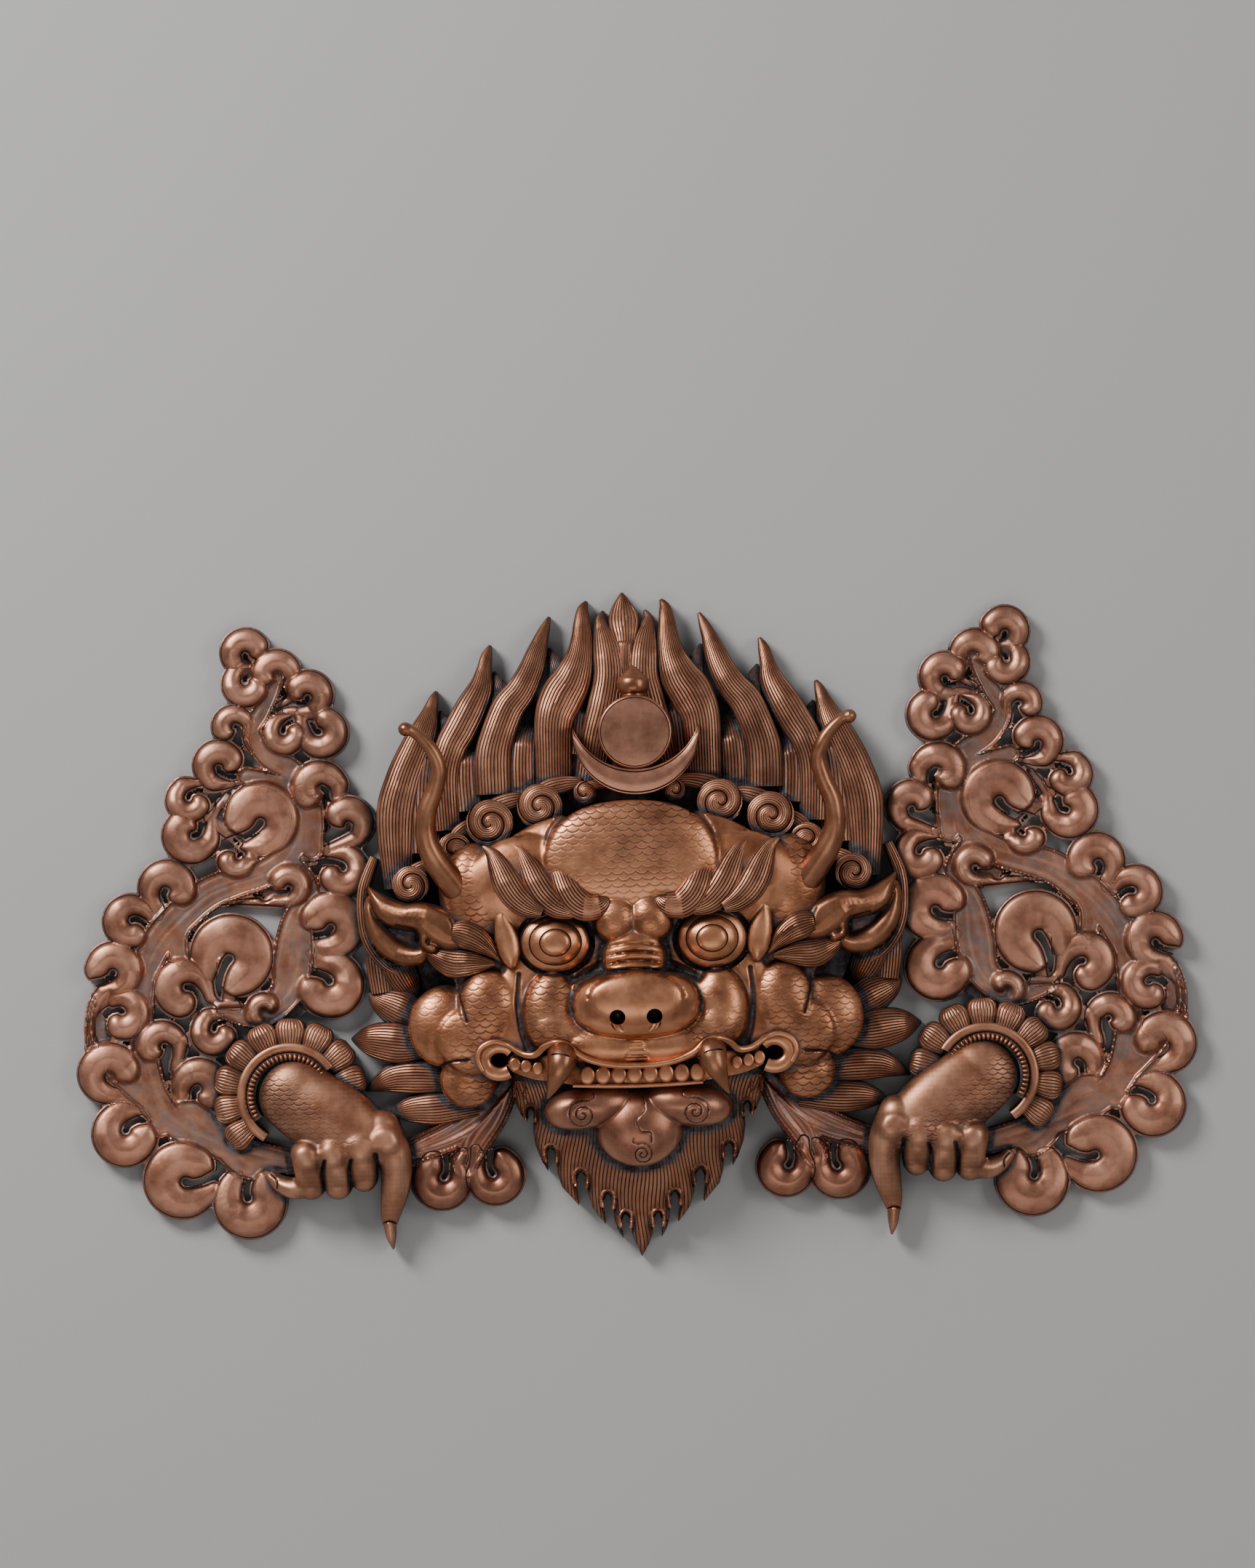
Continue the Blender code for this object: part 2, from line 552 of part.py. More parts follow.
def horn():
    """Round horn with a ball at its tip, curved up and forward off the hair."""
    sides = 8
    count = 13
    path = smooth_path(HORN, count)
    points = []
    centres = [Vector((x, -depth, z)) * U for x, z, depth in path]
    for i, centre in enumerate(centres):
        along = (centres[min(i + 1, count - 1)] - centres[max(i - 1, 0)]).normalized()
        out = along.cross(Vector((0, 1, 0))).normalized()
        up = out.cross(along)
        t = i / (count - 1)
        radius = HORN_BASE + (HORN_TIP - HORN_BASE) * t
        for k in range(sides):
            angle = 2 * math.pi * k / sides
            points.append(centre + (out * math.cos(angle) + up * math.sin(angle)) * radius)
    faces = [tuple(range(sides)), tuple(reversed(range(len(points) - sides, len(points))))]
    for i in range(count - 1):
        for k in range(sides):
            a, b = i * sides + k, i * sides + (k + 1) % sides
            faces.append((b, a, a + sides, b + sides))
    shaft = new_shell("horn", points, faces)
    face_out(shaft)
    ball = bpy.data.meshes.new("ball")
    bm = bmesh.new()
    bmesh.ops.create_icosphere(bm, subdivisions=2, radius=HORN_TIP * 1.35)
    bmesh.ops.translate(bm, verts=bm.verts, vec=centres[-1])
    bm.to_mesh(ball)
    bm.free()
    tip = bpy.data.objects.new("ball", ball)
    bpy.context.scene.collection.objects.link(tip)
    return [shaft, tip]


def jaw():
    left = [
        dome(-31, -204.5, 28, 13.5, CHIN_BACK, JAW_RISE - 2 * U, 0.7, -8, sides=14),
        strip(smooth_path(((-60, -196, 3), (-36, -195.5, 4), (0, -194.5, 4)), 4), CHIN_BACK,
              falling(JAW_RISE - 8 * U, JAW_RISE)),
    ]
    return both_sides(left) + [dome(0, -217, 28, 25, CHIN_BACK, JAW_RISE, 0.65, sides=16)]


def fang():
    places = smooth_path(((-49, -164, 7.5), (-50, -172, 8), (-53, -182, 5.5), (-57, -196, 1)), 5)
    return [strip(places, FANG_RISE - 22 * U, falling(FANG_RISE, FANG_RISE - 6 * U))]


def beard():
    shells = []
    for points in BEARD:
        shells.append(lock(points, BEARD_ROOT, (BEARD_ROOT + BEARD_TIP) / 2, BEARD_TIP, count=6))
    shells = both_sides(shells)
    shells.append(lock(BEARD_CENTRE, BEARD_ROOT, (BEARD_ROOT + BEARD_TIP) / 2, BEARD_TIP, count=6))
    return shells


def mouth_vine():
    shells = []
    for points in VINE:
        shells.append(strip(smooth_path(points, 7), 0, falling(VINE_RISE + 16 * U, VINE_RISE)))
    for x, z, radius, half, start, end, stem in VINE_CURLS:
        places = arc_band(x, z, radius, half, start, end, stem)
        shells.append(strip(places, 0, falling(VINE_RISE, VINE_RISE), round_start=True))
    return shells


def crescent():
    """Upturned moon between an outer circle and a higher inner one."""
    outer, inner = 40, 42.5
    top = 17.7
    sweep = 83.7  # degrees from the lowest point round to a tip
    count = 17
    rows = []
    for i in range(count):
        angle = math.radians(-90 - sweep + 2 * sweep * i / (count - 1))
        rows.append((outer * math.cos(angle), outer * math.sin(angle)))
    points = []
    for x, z in rows:
        depth = math.sqrt(max(0, inner ** 2 - x ** 2))
        upper = max(z + 0.8, top - depth)
        for pz in (z, upper):
            for side in (CRESCENT_RISE, CROWN_BACK + 4 * U):
                points.append(((x + CROWN_SHIFT) * U, -side, (pz + 33) * U))
    faces = [(0, 1, 3, 2), tuple(len(points) - k for k in (2, 1, 3, 4))]
    for i in range(count - 1):
        a = i * 4
        for j, k in ((0, 1), (1, 3), (3, 2), (2, 0)):
            faces.append((a + j, a + k, a + k + 4, a + j + 4))
    shell = new_shell("crescent", points, faces)
    face_out(shell)
    return [shell]


def sun_disc():
    return [dome(CROWN_SHIFT - 0.4, 32.8, 23.5, 23.5, CROWN_BACK, DISC_RISE, 0.96, sides=28, rings=1)]


def jewel():
    x = CROWN_SHIFT - 0.6
    band = ((x, 54, 7.5), (x, 60, 8))
    shells = [strip(band, CROWN_BACK, falling(JEWEL_RISE - 2 * U, JEWEL_RISE - 2 * U))]
    drop = ((x, 59, 7.5), (x, 63, 10.3), (x, 67, 8.5), (x, 71, 4.5), (x, 75, TIP))
    shells.append(strip(smooth_path(drop, 7), CROWN_BACK, falling(JEWEL_RISE, JEWEL_RISE - 4 * U)))
    return shells


def scroll_panel():
    shells = []
    for points in PANEL_VINES:
        shells.append(strip(smooth_path(points, 2 * len(points) - 1), 0, falling(PANEL_STEM, PANEL_STEM)))
    for x, z, radius, half, start, end, stem in PANEL_CURLS:
        places = arc_band(x, z, radius, half, start, end, stem)
        shells.append(strip(places, 0, falling(PANEL_LOBE, PANEL_STEM), round_start=True))
    return shells


def cuff():
    x, z = CUFF_CENTRE
    beads = CUFF_RISE + 5 * U
    shells = [strip(arc_band(x, z, 31, 4.2, 32, 240, (), 20), HAND_BACK, falling(CUFF_RISE, CUFF_RISE))]
    shells.append(strip(arc_band(x, z, 25, 3.4, 30, 215, (), 20), HAND_BACK, falling(beads, beads)))
    for i in range(PETALS):
        angle = math.radians(12 + 25.5 * i)
        out = (math.cos(angle), math.sin(angle))
        places = []
        for r, w in ((31, 6), (39, 9.5), (45, 8), (49, 2.5)):
            places.append((x + out[0] * r, z + out[1] * r, w))
        shells.append(strip(places, HAND_BACK, falling(CUFF_RISE - 3 * U, CUFF_RISE - 10 * U)))
    return shells


def hand():
    shells = [strip(smooth_path(PALM, 5), HAND_BACK, falling(HAND_RISE - 2 * U, HAND_RISE))]
    shells.append(dome(-190, -209, 33, 25, HAND_BACK, HAND_RISE + 2 * U, 0.4, -42, sides=16, rings=4))
    shells.append(strip(smooth_path(KNUCKLES, 5), HAND_BACK, falling(HAND_RISE - 4 * U, HAND_RISE - 6 * U)))
    for i, points in enumerate(FINGERS):
        end = HAND_RISE - (24 if i == 4 else 16) * U
        shells.append(strip(smooth_path(points, 6), HAND_BACK, falling(HAND_RISE - 4 * U, end)))
    return shells


def build():
    for old in list(bpy.data.objects):
        bpy.data.objects.remove(old)
    copper = metal("copper sheet", (0.36, 0.15, 0.08), 0.38)
    panel_copper = metal("panel copper", (0.30, 0.14, 0.10), 0.42)
    yellow_copper = metal("yellow copper", (0.34, 0.17, 0.07), 0.34)
    face_body = piece("face", face(), copper, 1800)
    apply_boolean(face_body, [hollow()], "DIFFERENCE")
    keep_body(face_body)
    hair_body = piece("hair_and_mane", hair(), copper, 1700, (face_body,))
    apply_boolean(hair_body, [dome(0, -98, 99, 67, -THROUGH, 2 * PLATE, 0.999, sides=24, rings=1)], "DIFFERENCE")
    keep_body(hair_body)
    jaw_body = piece("jaw", jaw(), copper, 300, (face_body, hair_body))
    beard_body = piece("beard", beard(), copper, 420, (face_body, jaw_body, hair_body))
    crescent_body = piece("crescent_moon", crescent(), copper, 160, (face_body, hair_body))
    disc_body = piece("sun_disc", sun_disc(), copper, 120, (crescent_body, hair_body))
    piece("jewel_finial", jewel(), yellow_copper, 90, (disc_body, hair_body))
    pair("brow", brow(), copper, 200, (face_body, hair_body))
    horns = pair("horn", horn(), yellow_copper, 200, (face_body, hair_body))
    pair("ear", ear(), yellow_copper, 220, (face_body, hair_body, horns))
    pair("fang", fang(), yellow_copper, 70, (face_body, jaw_body))
    panels = pair("scroll_panel", scroll_panel(), panel_copper, 1600, (hair_body,))
    cuffs = pair("lotus_cuff", cuff(), copper, 340, (panels,))
    hands = pair("hand", hand(), copper, 340, (panels, cuffs, hair_body))
    pair("mouth_vine", mouth_vine(), copper, 260, (face_body, hair_body, beard_body, hands))


build()
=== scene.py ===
# Looks of the copper kirtimukha wall mask: chased hair, scroll panels, beast face, hands, and patina with
# painted shade in the hollows and a painted highlight on the highs.
import math

import bmesh
import bpy
import numpy as np
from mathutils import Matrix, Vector


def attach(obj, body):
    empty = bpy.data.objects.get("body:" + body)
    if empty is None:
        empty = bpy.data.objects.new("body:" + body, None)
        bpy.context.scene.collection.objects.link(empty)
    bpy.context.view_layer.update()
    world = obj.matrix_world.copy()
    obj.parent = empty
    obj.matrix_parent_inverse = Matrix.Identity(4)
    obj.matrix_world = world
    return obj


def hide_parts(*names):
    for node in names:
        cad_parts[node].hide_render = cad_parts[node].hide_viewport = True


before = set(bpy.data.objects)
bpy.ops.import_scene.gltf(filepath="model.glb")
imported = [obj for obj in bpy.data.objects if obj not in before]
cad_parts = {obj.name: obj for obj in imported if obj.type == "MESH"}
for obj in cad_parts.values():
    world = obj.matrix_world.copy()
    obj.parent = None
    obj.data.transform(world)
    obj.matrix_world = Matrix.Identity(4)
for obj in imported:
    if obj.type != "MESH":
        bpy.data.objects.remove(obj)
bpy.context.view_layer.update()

MM = 0.001  # the drawing of the carving is in millimetres: x to the right, z up, depth off the wall
PLATE = 6.0
FACE_BACK = PLATE + 0.5
LINE = 2.15  # pitch of the chased hair lines
MARKS = ("groove", "border", "scaly", "comb", "phase", "dusty")  # what the metals read from a piece

# Camera and wall of the photograph
FRAME_HEIGHT = 1.000  # height of wall that the picture covers
CAMERA_DISTANCE = 5.0
CAMERA_ROLL = 1.7
SENSOR = 36.0

# Flame locks from root to tip: x, z and half width; the last value is how far the lock stands out
LOCKS = (
    (((-25, 2, 10), (-20, 30, 10), (-14.4, 50, 10.4), (-11, 68, 9.6), (-11.4, 82, 9), (-12.8, 92, 7.6),
      (-14.6, 100, 5), (-15, 106, 3), (-13, 110.6, 0.8)), 34),
    (((-47.5, 1, 11.4), (-47.4, 20, 11.6), (-46.4, 42, 12.6), (-41, 56, 14), (-34.4, 67, 12.6),
      (-29.6, 80, 9.2), (-27.6, 92, 6.9), (-27, 104, 5.2), (-26, 112, 3.6), (-23.6, 117, 1)), 37),
    (((-86, -4, 11.6), (-86, 18, 11.6), (-83, 32, 10.8), (-75.6, 50, 10.4), (-67, 61, 9.4), (-60.6, 73, 8.2),
      (-56.6, 84, 6.8), (-53.6, 93, 4.9), (-50.6, 100.6, 3.3), (-47.6, 107.8, 1)), 36),
    (((-116, -26, 9), (-117, 8, 9.4), (-112.6, 26, 9.8), (-106, 38, 10.4), (-98.4, 52, 10), (-92.6, 64, 7.8),
      (-90.2, 75, 4.9), (-88.2, 84, 3.6), (-85.6, 90.8, 1)), 34),
    (((-148, -62, 9), (-148.4, -18, 12.6), (-143, 6, 11.8), (-134.6, 26, 10.4), (-128.4, 40, 8),
      (-125.2, 50, 4.9), (-122.6, 58, 3), (-120.6, 62.6, 1)), 32),
)
SIDE_LOCKS = (
    (((-67, -6, 8.6), (-67, 18, 8.4), (-64.4, 36, 7), (-57, 54, 1)), 34),
    (((-102, -14, 8.4), (-103, 8, 8.6), (-101, 26, 8), (-93, 42, 1)), 33),
    (((-131, -40, 11), (-130, 4, 11), (-125, 28, 9), (-118, 46, 2)), 30),
    (((-34, 20, 8), (-31, 46, 8), (-22, 64, 3)), 31),
    (((-41, 52, 8), (-42, 68, 8), (-48.4, 88, 1)), 27),
    (((-76, 40, 9), (-78, 56, 8), (-84, 74, 1)), 26),
    (((-112, 20, 8), (-114, 36, 6), (-119, 50, 1)), 22),
)
CENTRE_LOCK = ((0, 40, 8), (0, 84, 4.5), (0, 92, 7), (-0.4, 104, 9.8), (-0.8, 113, 7), (-1, 122, 0.6))

# Curls of the hair line: centre and radius, and the middle line of the tail that rolls into each
HAIR_CURLS = (
    (-56.8, -12.6, 14.4, ((-30, 2, 3), (-40, 1.4, 5), (-50, -1, 6), (-56, -4, 5.4))),
    (-88.8, -22.2, 15, ((-62, -8, 3), (-72, -8, 5), (-82, -11, 6), (-88, -14, 5.4))),
    (-111.6, -38, 10.6, ((-96, -24, 3), (-102, -24, 4.6), (-108, -28, 5), (-112, -32, 4))),
    (-140, -59.4, 11.6, ((-124, -48, 3), (-130, -48.4, 4.4), (-136, -51, 5), (-141, -54, 4))),
    (-28, -4.6, 7.4, ((-12, 0, 2.4), (-18, 0.4, 3), (-24, -0.4, 3.4), (-28, -2, 3))),
)

# Mane leaves beside the cheeks, from root to point, and how far each stands out
LEAVES = (
    (((-156, -96, 8), (-150, -112, 10.5), (-144, -124, 8.6), (-137, -135, 0.8)), 25),
    (((-136, -146, 9), (-150, -138.5, 12.5), (-162, -133, 8.4), (-170, -128.4, 0.8)), 22),
    (((-134, -162, 8), (-150, -160.5, 12.5), (-164, -158.6, 11.5), (-174, -157.6, 7.5),
      (-181.4, -157, 0.8)), 27),
    (((-116, -184, 8), (-138, -182, 10.5), (-154, -182.4, 9.6), (-165, -186, 5.4), (-173.4, -190.2, 0.6)),
     24),
    (((-102, -200, 8), (-126, -202, 10.5), (-142, -202.6, 9.2), (-152, -204, 5.4), (-159.6, -206.4, 0.6)),
     22),
)
MANE_BAND = ((-163, -42, 3), (-170, -60, 3.8), (-171.4, -78, 3.8), (-168.6, -94, 4), (-160, -108, 4),
             (-150, -116, 2))
MANE_TUFT = ((-163.5, -92, 7), (-162, -110, 8.4), (-160, -128, 8))

# Curls of a scroll panel: centre, radius and half width of the band, the angles of its
# free end and of the place where it leaves the circle, and the points of its stem
PANEL_CURLS = (
    (-241.5, 90.5, 9, 7.9, 34, 260, ((-239, 78),)),
    (-242, 71, 8.6, 7.6, -36, -250, ((-237, 80), (-231, 74))),
    (-222.5, 76, 9.5, 7.9, 165, -20, ((-213, 62), (-222, 56))),
    (-202.5, 62.5, 9, 8.0, 135, -95, ((-225, 55),)),
    (-194.5, 38.5, 9.4, 8.3, 63, -185, ((-210, 52), (-222, 52))),
    (-218.5, 38.5, 8, 7, -10, -250, ((-214, 49), (-228, 50))),
    (-250.5, 44, 8, 6.9, 195, 0, ((-241, 32), (-232, 22))),
    (-260.5, 19.5, 9.4, 8.1, 32, 255, ((-250, 12), (-222, 13))),
    (-280.5, -2, 8.4, 7.2, -35, -262, ((-262, 6), (-242, 9))),
    (-279.5, -24.5, 10.8, 8.6, 135, 350, ((-266, -14), (-256, 0))),
    (-295.5, -58, 10.8, 8.9, -5, 215, ((-300, -78), (-304, -94))),
    (-320, -78, 10.2, 8, -80, -330, ((-306, -84), (-309, -96))),
    (-331, -109, 10.8, 8.8, 170, -110, ((-345, -134), (-348, -158))),
    (-325.5, -136.5, 9.7, 8.2, -105, 125, ((-336, -128), (-345, -136))),
    (-336, -174.5, 12.4, 8.6, 20, 270, ((-326, -191), (-306, -205))),
    (-327, -213, 12.6, 9.4, -20, -275, ((-312, -203), (-298, -211))),
    (-291.5, -243.5, 14.6, 11, 50, 320, ((-264, -243), (-250, -237))),
    (-249, -258.5, 13.8, 10.6, 42, -235, ((-250, -241), (-240, -235))),
    (-234.5, -15.5, 15, 10.2, 185, -105, ((-252, -25), (-268, -14))),
    (-251, -38.5, 8, 6.9, 215, 350, ((-250, -29), (-260, -22))),
    (-197, 3, 10.5, 8.6, 200, 0, ((-189, -12), (-204, -32))),
    (-179.5, -19.5, 9.6, 8.4, 130, -70, ((-192, -36), (-210, -42))),
    (-183, -50, 9.6, 8.3, 215, 450, ((-198, -42), (-214, -40))),
    (-218, -58.5, 8, 6.9, 140, -105, ((-238, -68), (-264, -68))),
    (-191.5, -84, 13, 9.8, 150, -110, ((-210, -90), (-222, -88))),
    (-193.5, -122, 13, 9.6, 200, 465, ((-208, -101), (-216, -98))),
    (-256, -102, 16, 11.6, 262, 585, ((-262, -126), (-252, -138))),
    (-287, -121.5, 11.6, 8.8, 250, 20, ((-269, -131), (-250, -138))),
    (-268.5, -150, 8.8, 7.6, -32, -260, ((-254, -141), (-236, -138))),
    (-236.5, -137.5, 7, 6.1, 57, 275, ((-224, -141), (-216, -134))),
    (-302, -158, 9.5, 8, 186, 0, ((-295, -180), (-297, -200))),
    (-278.5, -185, 11.2, 8.8, -29, 195, ((-290, -203), (-268, -221))),
)

# Stems that carry the curls: x, z and half width
PANEL_VINES = (
    ((-212, -236, 7), (-238, -231, 8.6), (-264, -223, 9), (-285, -214, 9), (-299, -204, 9.6),
     (-309, -190, 10), (-313.5, -174, 10), (-314, -150, 7), (-313.5, -128, 7), (-311, -110, 8.6),
     (-303, -92, 10), (-286, -74, 10.5), (-270, -62, 10), (-252, -55, 9.6), (-234, -50, 9), (-221, -41, 9),
     (-213, -26, 9.5), (-213, -8, 9), (-222, 4, 8), (-243, 12, 6)),
    ((-219, -40, 6), (-206, -60, 7), (-214, -84, 10), (-217, -105, 12), (-222, -126, 10), (-240, -140, 8),
     (-264, -137, 4)),
    ((-203, -36, 7), (-203, -16, 8), (-206, 4, 8), (-215, 15, 7.6), (-230, 25, 7), (-239, 40, 6),
     (-233, 52, 6), (-226, 64, 5), (-221, 76, 4)),
    ((-309, -190, 10), (-322, -176, 11), (-334, -166, 8), (-347, -158, 4)),
    ((-304, -208, 8), (-284, -200, 7), (-266, -216, 7)),
    ((-262, -224, 9), (-252, -234, 9), (-240, -238, 7)),
    ((-268, -222, 4), (-264, -206, 4), (-256, -190, 4)),
    ((-272, -64, 7), (-290, -86, 7), (-288, -112, 6)),
    ((-345, -128, 2), (-348.6, -146, 2.6), (-345, -164, 3)),
)

# Left edge of the beard from the cheek to the middle, and the notches that end in a hooked rim
BEARD_EDGE = (
    (0, -176), (-60, -172), (-80, -178), (-80.4, -190), (-78, -200), (-75, -207), (-70.8, -212),
    (-70.6, -206), (-68.6, -203.6), (-66.6, -206), (-67.4, -218), (-66, -228), (-62.6, -237),
    (-58.6, -244.6), (-59.6, -234), (-57.4, -229.6), (-53.6, -231.6), (-52.6, -246), (-50, -255),
    (-44.6, -261), (-39.6, -267), (-41.2, -251), (-38.4, -245), (-34.6, -248.4), (-33.6, -260), (-31, -269),
    (-27, -274.6), (-22.8, -279.6), (-24.4, -265), (-21.6, -259.6), (-18, -263), (-17.6, -276),
    (-15.6, -283), (-12, -289.4), (-13.2, -278), (-10.6, -272.6), (-7.4, -276), (-6.6, -286), (-4, -293),
    (-0.6, -301),
)
BEARD_LEVELS = (-301, -275, -245, -215, -180)
BEARD_FRONTS = (12, 19, 28, 38, 46)
BEARD_HOOKS = ((-56.4, -231.4, 4.0), (-37.8, -247.4, 4.2), (-21.2, -262, 4.0), (-10.3, -275, 3.8),
               (-68.6, -205.4, 3.6), (-75, -190, 3.6))

# Three overlapping tufts of the left brow, from tip to root
BROW = (
    ((-93.4, -36.4, 0.8), (-87.4, -42, 4.6), (-83, -50, 7.6), (-79, -59, 9.2), (-73.6, -68, 9.2),
     (-66, -75, 7.4), (-57, -79, 3.6)),
    ((-75, -36.2, 0.8), (-69, -41.6, 4.8), (-64.6, -50, 8), (-60.6, -59, 9.8), (-55, -68, 10),
     (-47, -75.6, 8), (-37, -80, 4)),
    ((-56, -41.4, 0.8), (-49.4, -46.5, 4.8), (-45, -55, 7.8), (-41.6, -64, 9.2), (-36.6, -72, 9.8),
     (-29, -77, 8.8), (-20.6, -76.4, 7.6)),
)

# Middle line of the left horn: x, z, depth and radius
HORN = (
    (-110.4, -63.2, 50, 9.4), (-118, -52.3, 56, 8.6), (-124.4, -42.4, 61, 7.8), (-128.8, -29.6, 64, 6.9),
    (-127.8, -13.8, 66, 6.2), (-122.4, 0, 68, 5.7), (-119.4, 12.8, 70, 5.2), (-122.2, 22.7, 72, 4.6),
    (-127.6, 30.6, 73, 4), (-133.4, 36, 73, 3.7), (-138, 38.4, 72, 3.6),
)

# The two stems below the mouth corner, and the curls that they end in
VINE = (
    ((-79, -176, 4), (-87, -192, 8.4), (-101, -208, 10.6), (-120, -220, 10.2), (-147, -230, 8)),
    ((-80, -190, 5), (-93, -208, 10), (-105, -224, 10.6), (-112, -240, 8)),
)
VINE_CURLS = (
    (-126.5, -248, 11, 9.4, 118, 400, ((-112, -232),)),
    (-92.5, -246.5, 10.6, 9, 60, -215, ((-104, -230),)),
)

# Back of the hand, fingers and nails: x, z, half width and front of each place
HAND_BACK = ((-217, -192, 23.6, 35), (-205, -201, 24.6, 37.5), (-191, -211, 25, 39), (-179, -220, 23, 39))
FINGERS = (
    ((-212, -228, 9.4, 38), (-209.6, -241, 9.4, 37), (-209, -249.4, 8.6, 31)),
    ((-195.4, -227, 9.6, 39.5), (-192.6, -241, 9.6, 38), (-192, -249.4, 8.8, 32)),
    ((-178, -224, 9.2, 39.5), (-176, -238, 9, 38), (-175.4, -245.6, 8.2, 32)),
    ((-211, -249, 7.6, 30), (-221, -250.4, 6.6, 28), (-229, -247.4, 5.2, 25), (-234, -243, 3.6, 23)),
    ((-164, -214, 12, 37), (-157.4, -227, 11, 37), (-155, -240, 9.8, 34), (-156.4, -254, 8.8, 29),
     (-159, -266, 6.8, 24), (-160.2, -273.6, 4.8, 21)),
)
NAILS = (
    ((-160.3, -274.6, 3.9, 20), (-159.8, -283, 3.1, 18), (-158.7, -291, 0.7, 15)),
    ((-233.4, -243.6, 2.9, 21.5), (-238.4, -239.8, 1.0, 19)),
)

# Flat sheet between the stems of a panel
WEBS = (
    ((-199, -2, 5), (-197, -16, 6.4), (-203, -30, 5)),
    ((-318, -160, 5), (-316, -176, 10), (-304, -190, 7)),
    ((-232, -60, 5), (-212, -74, 6), (-210, -84, 5)),
    ((-342, -140, 4), (-340, -148, 5), (-338, -156, 4)),
    ((-214, -136, 5), (-226, -142, 5)),
    ((-246, -240, 5), (-236, -240, 5), (-226, -238, 5)),
)

# Wrist cuff
CUFF_CENTRE = (-221, -191.5)
PETALS = 9
BEADS = 27


def along(points, count):
    """Read count places from a smooth curve through the points."""
    p = np.array(points, float)
    last = len(p) - 1
    at = np.linspace(0, last, count)
    k = np.minimum(at.astype(int), last - 1)
    t = (at - k)[:, None]
    p1, p2 = p[k], p[k + 1]
    p0, p3 = p[np.maximum(k - 1, 0)], p[np.minimum(k + 2, last)]
    return (2 * p1 + (p2 - p0) * t + (2 * p0 - 5 * p1 + 4 * p2 - p3) * t ** 2
            + (3 * p1 - p0 - 3 * p2 + p3) * t ** 3) / 2


def tangents(xz):
    """Unit directions of a run of places."""
    ahead = np.vstack([xz[1:], 2 * xz[-1] - xz[-2]])
    behind = np.vstack([2 * xz[0] - xz[1], xz[:-1]])
    run = ahead - behind
    return run / np.maximum(np.linalg.norm(run, axis=1), 1e-9)[:, None]


def new_shell(name, points, faces, groove=None):
    """A closed shell from points (x, depth, z) in millimetres, facing out, with its chased lines marked."""
    pts = np.array(points, float)
    co = np.column_stack([pts[:, 0], -pts[:, 1], pts[:, 2]]) * MM
    mesh = bpy.data.meshes.new(name)
    mesh.from_pydata(co.tolist(), [], faces)
    mark = mesh.attributes.new("groove", "FLOAT", "POINT")
    if groove is not None:
        mark.data.foreach_set("value", np.asarray(groove, np.float32))
    bm = bmesh.new()
    bm.from_mesh(mesh)
    bmesh.ops.remove_doubles(bm, verts=bm.verts, dist=1e-7)
    bmesh.ops.recalc_face_normals(bm, faces=bm.faces)
    if bm.calc_volume(signed=True) < 0:
        bmesh.ops.reverse_faces(bm, faces=bm.faces)
    bm.to_mesh(mesh)
    bm.free()
    shell = bpy.data.objects.new(name, mesh)
    bpy.context.scene.collection.objects.link(shell)
    return shell


def ring_faces(rows, width):
    """Quads between closed rings of equal size, with the first and last ring capped."""
    faces = [tuple(range(width)), tuple(reversed(range((rows - 1) * width, rows * width)))]
    for i in range(rows - 1):
        for k in range(width):
            a, b = i * width + k, i * width + (k + 1) % width
            faces.append((b, a, a + width, b + width))
    return faces


def lined_section(lines):
    """Section with chased lines: offsets from -1 to 1 and how much each is on a line."""
    u, g = [], []
    for i in range(lines):
        for share, line in ((0.0, 1), (0.24, 0), (0.5, 0), (0.76, 0)):
            u.append(-1 + 2 * (i + share) / lines)
            g.append(line)
    u.append(1.0)
    g.append(1)
    return np.array(u), np.array(g, float)


def plain_section():
    """Section of a smooth round cord."""
    steps = 9
    u = np.sin(np.linspace(-np.pi / 2, np.pi / 2, steps))
    return u, np.zeros(steps)


def strip(places, back, front, section, round_off=0.5, engrave=0.45):
    """A crowned band swept along places (x, z, half width), standing from back to front."""
    places = np.asarray(places, float)
    u, g = section
    crown = 1 - np.sqrt(np.clip(1 - (u * 0.985) ** 2, 0, 1))
    t = tangents(places[:, :2])
    normal = np.column_stack([-t[:, 1], t[:, 0]])
    fronts = np.broadcast_to(np.asarray(front, float), (len(places),))
    rows = []
    for (x, z, w), n, top in zip(places, normal, fronts):
        xs, zs = x + n[0] * w * u, z + n[1] * w * u
        depth = np.maximum(top - round_off * w * crown - engrave * min(1, w / 3) * g, back + 0.5)
        row = np.column_stack([xs, depth, zs])
        foot = np.array([[xs[-1], back, zs[-1]], [xs[0], back, zs[0]]])
        rows.append(np.vstack([row, foot]))
    width = len(u) + 2
    marks = np.tile(np.append(g, [0.3, 0.3]), len(places))
    return new_shell("strip", np.vstack(rows), ring_faces(len(rows), width), marks)


def lined(points, back, front, count=44, pitch=LINE, round_off=0.55, engrave=0.5, lines=None):
    """A lock or leaf chased with lines that run together at its tip."""
    places = along(points, count)
    widest = places[:, 2].max()
    lines = lines or max(4, round(2 * widest / pitch))
    tops = np.interp(np.linspace(0, 1, count), np.linspace(0, 1, len(front)), front)
    return strip(places, back, tops, lined_section(lines), round_off, engrave)


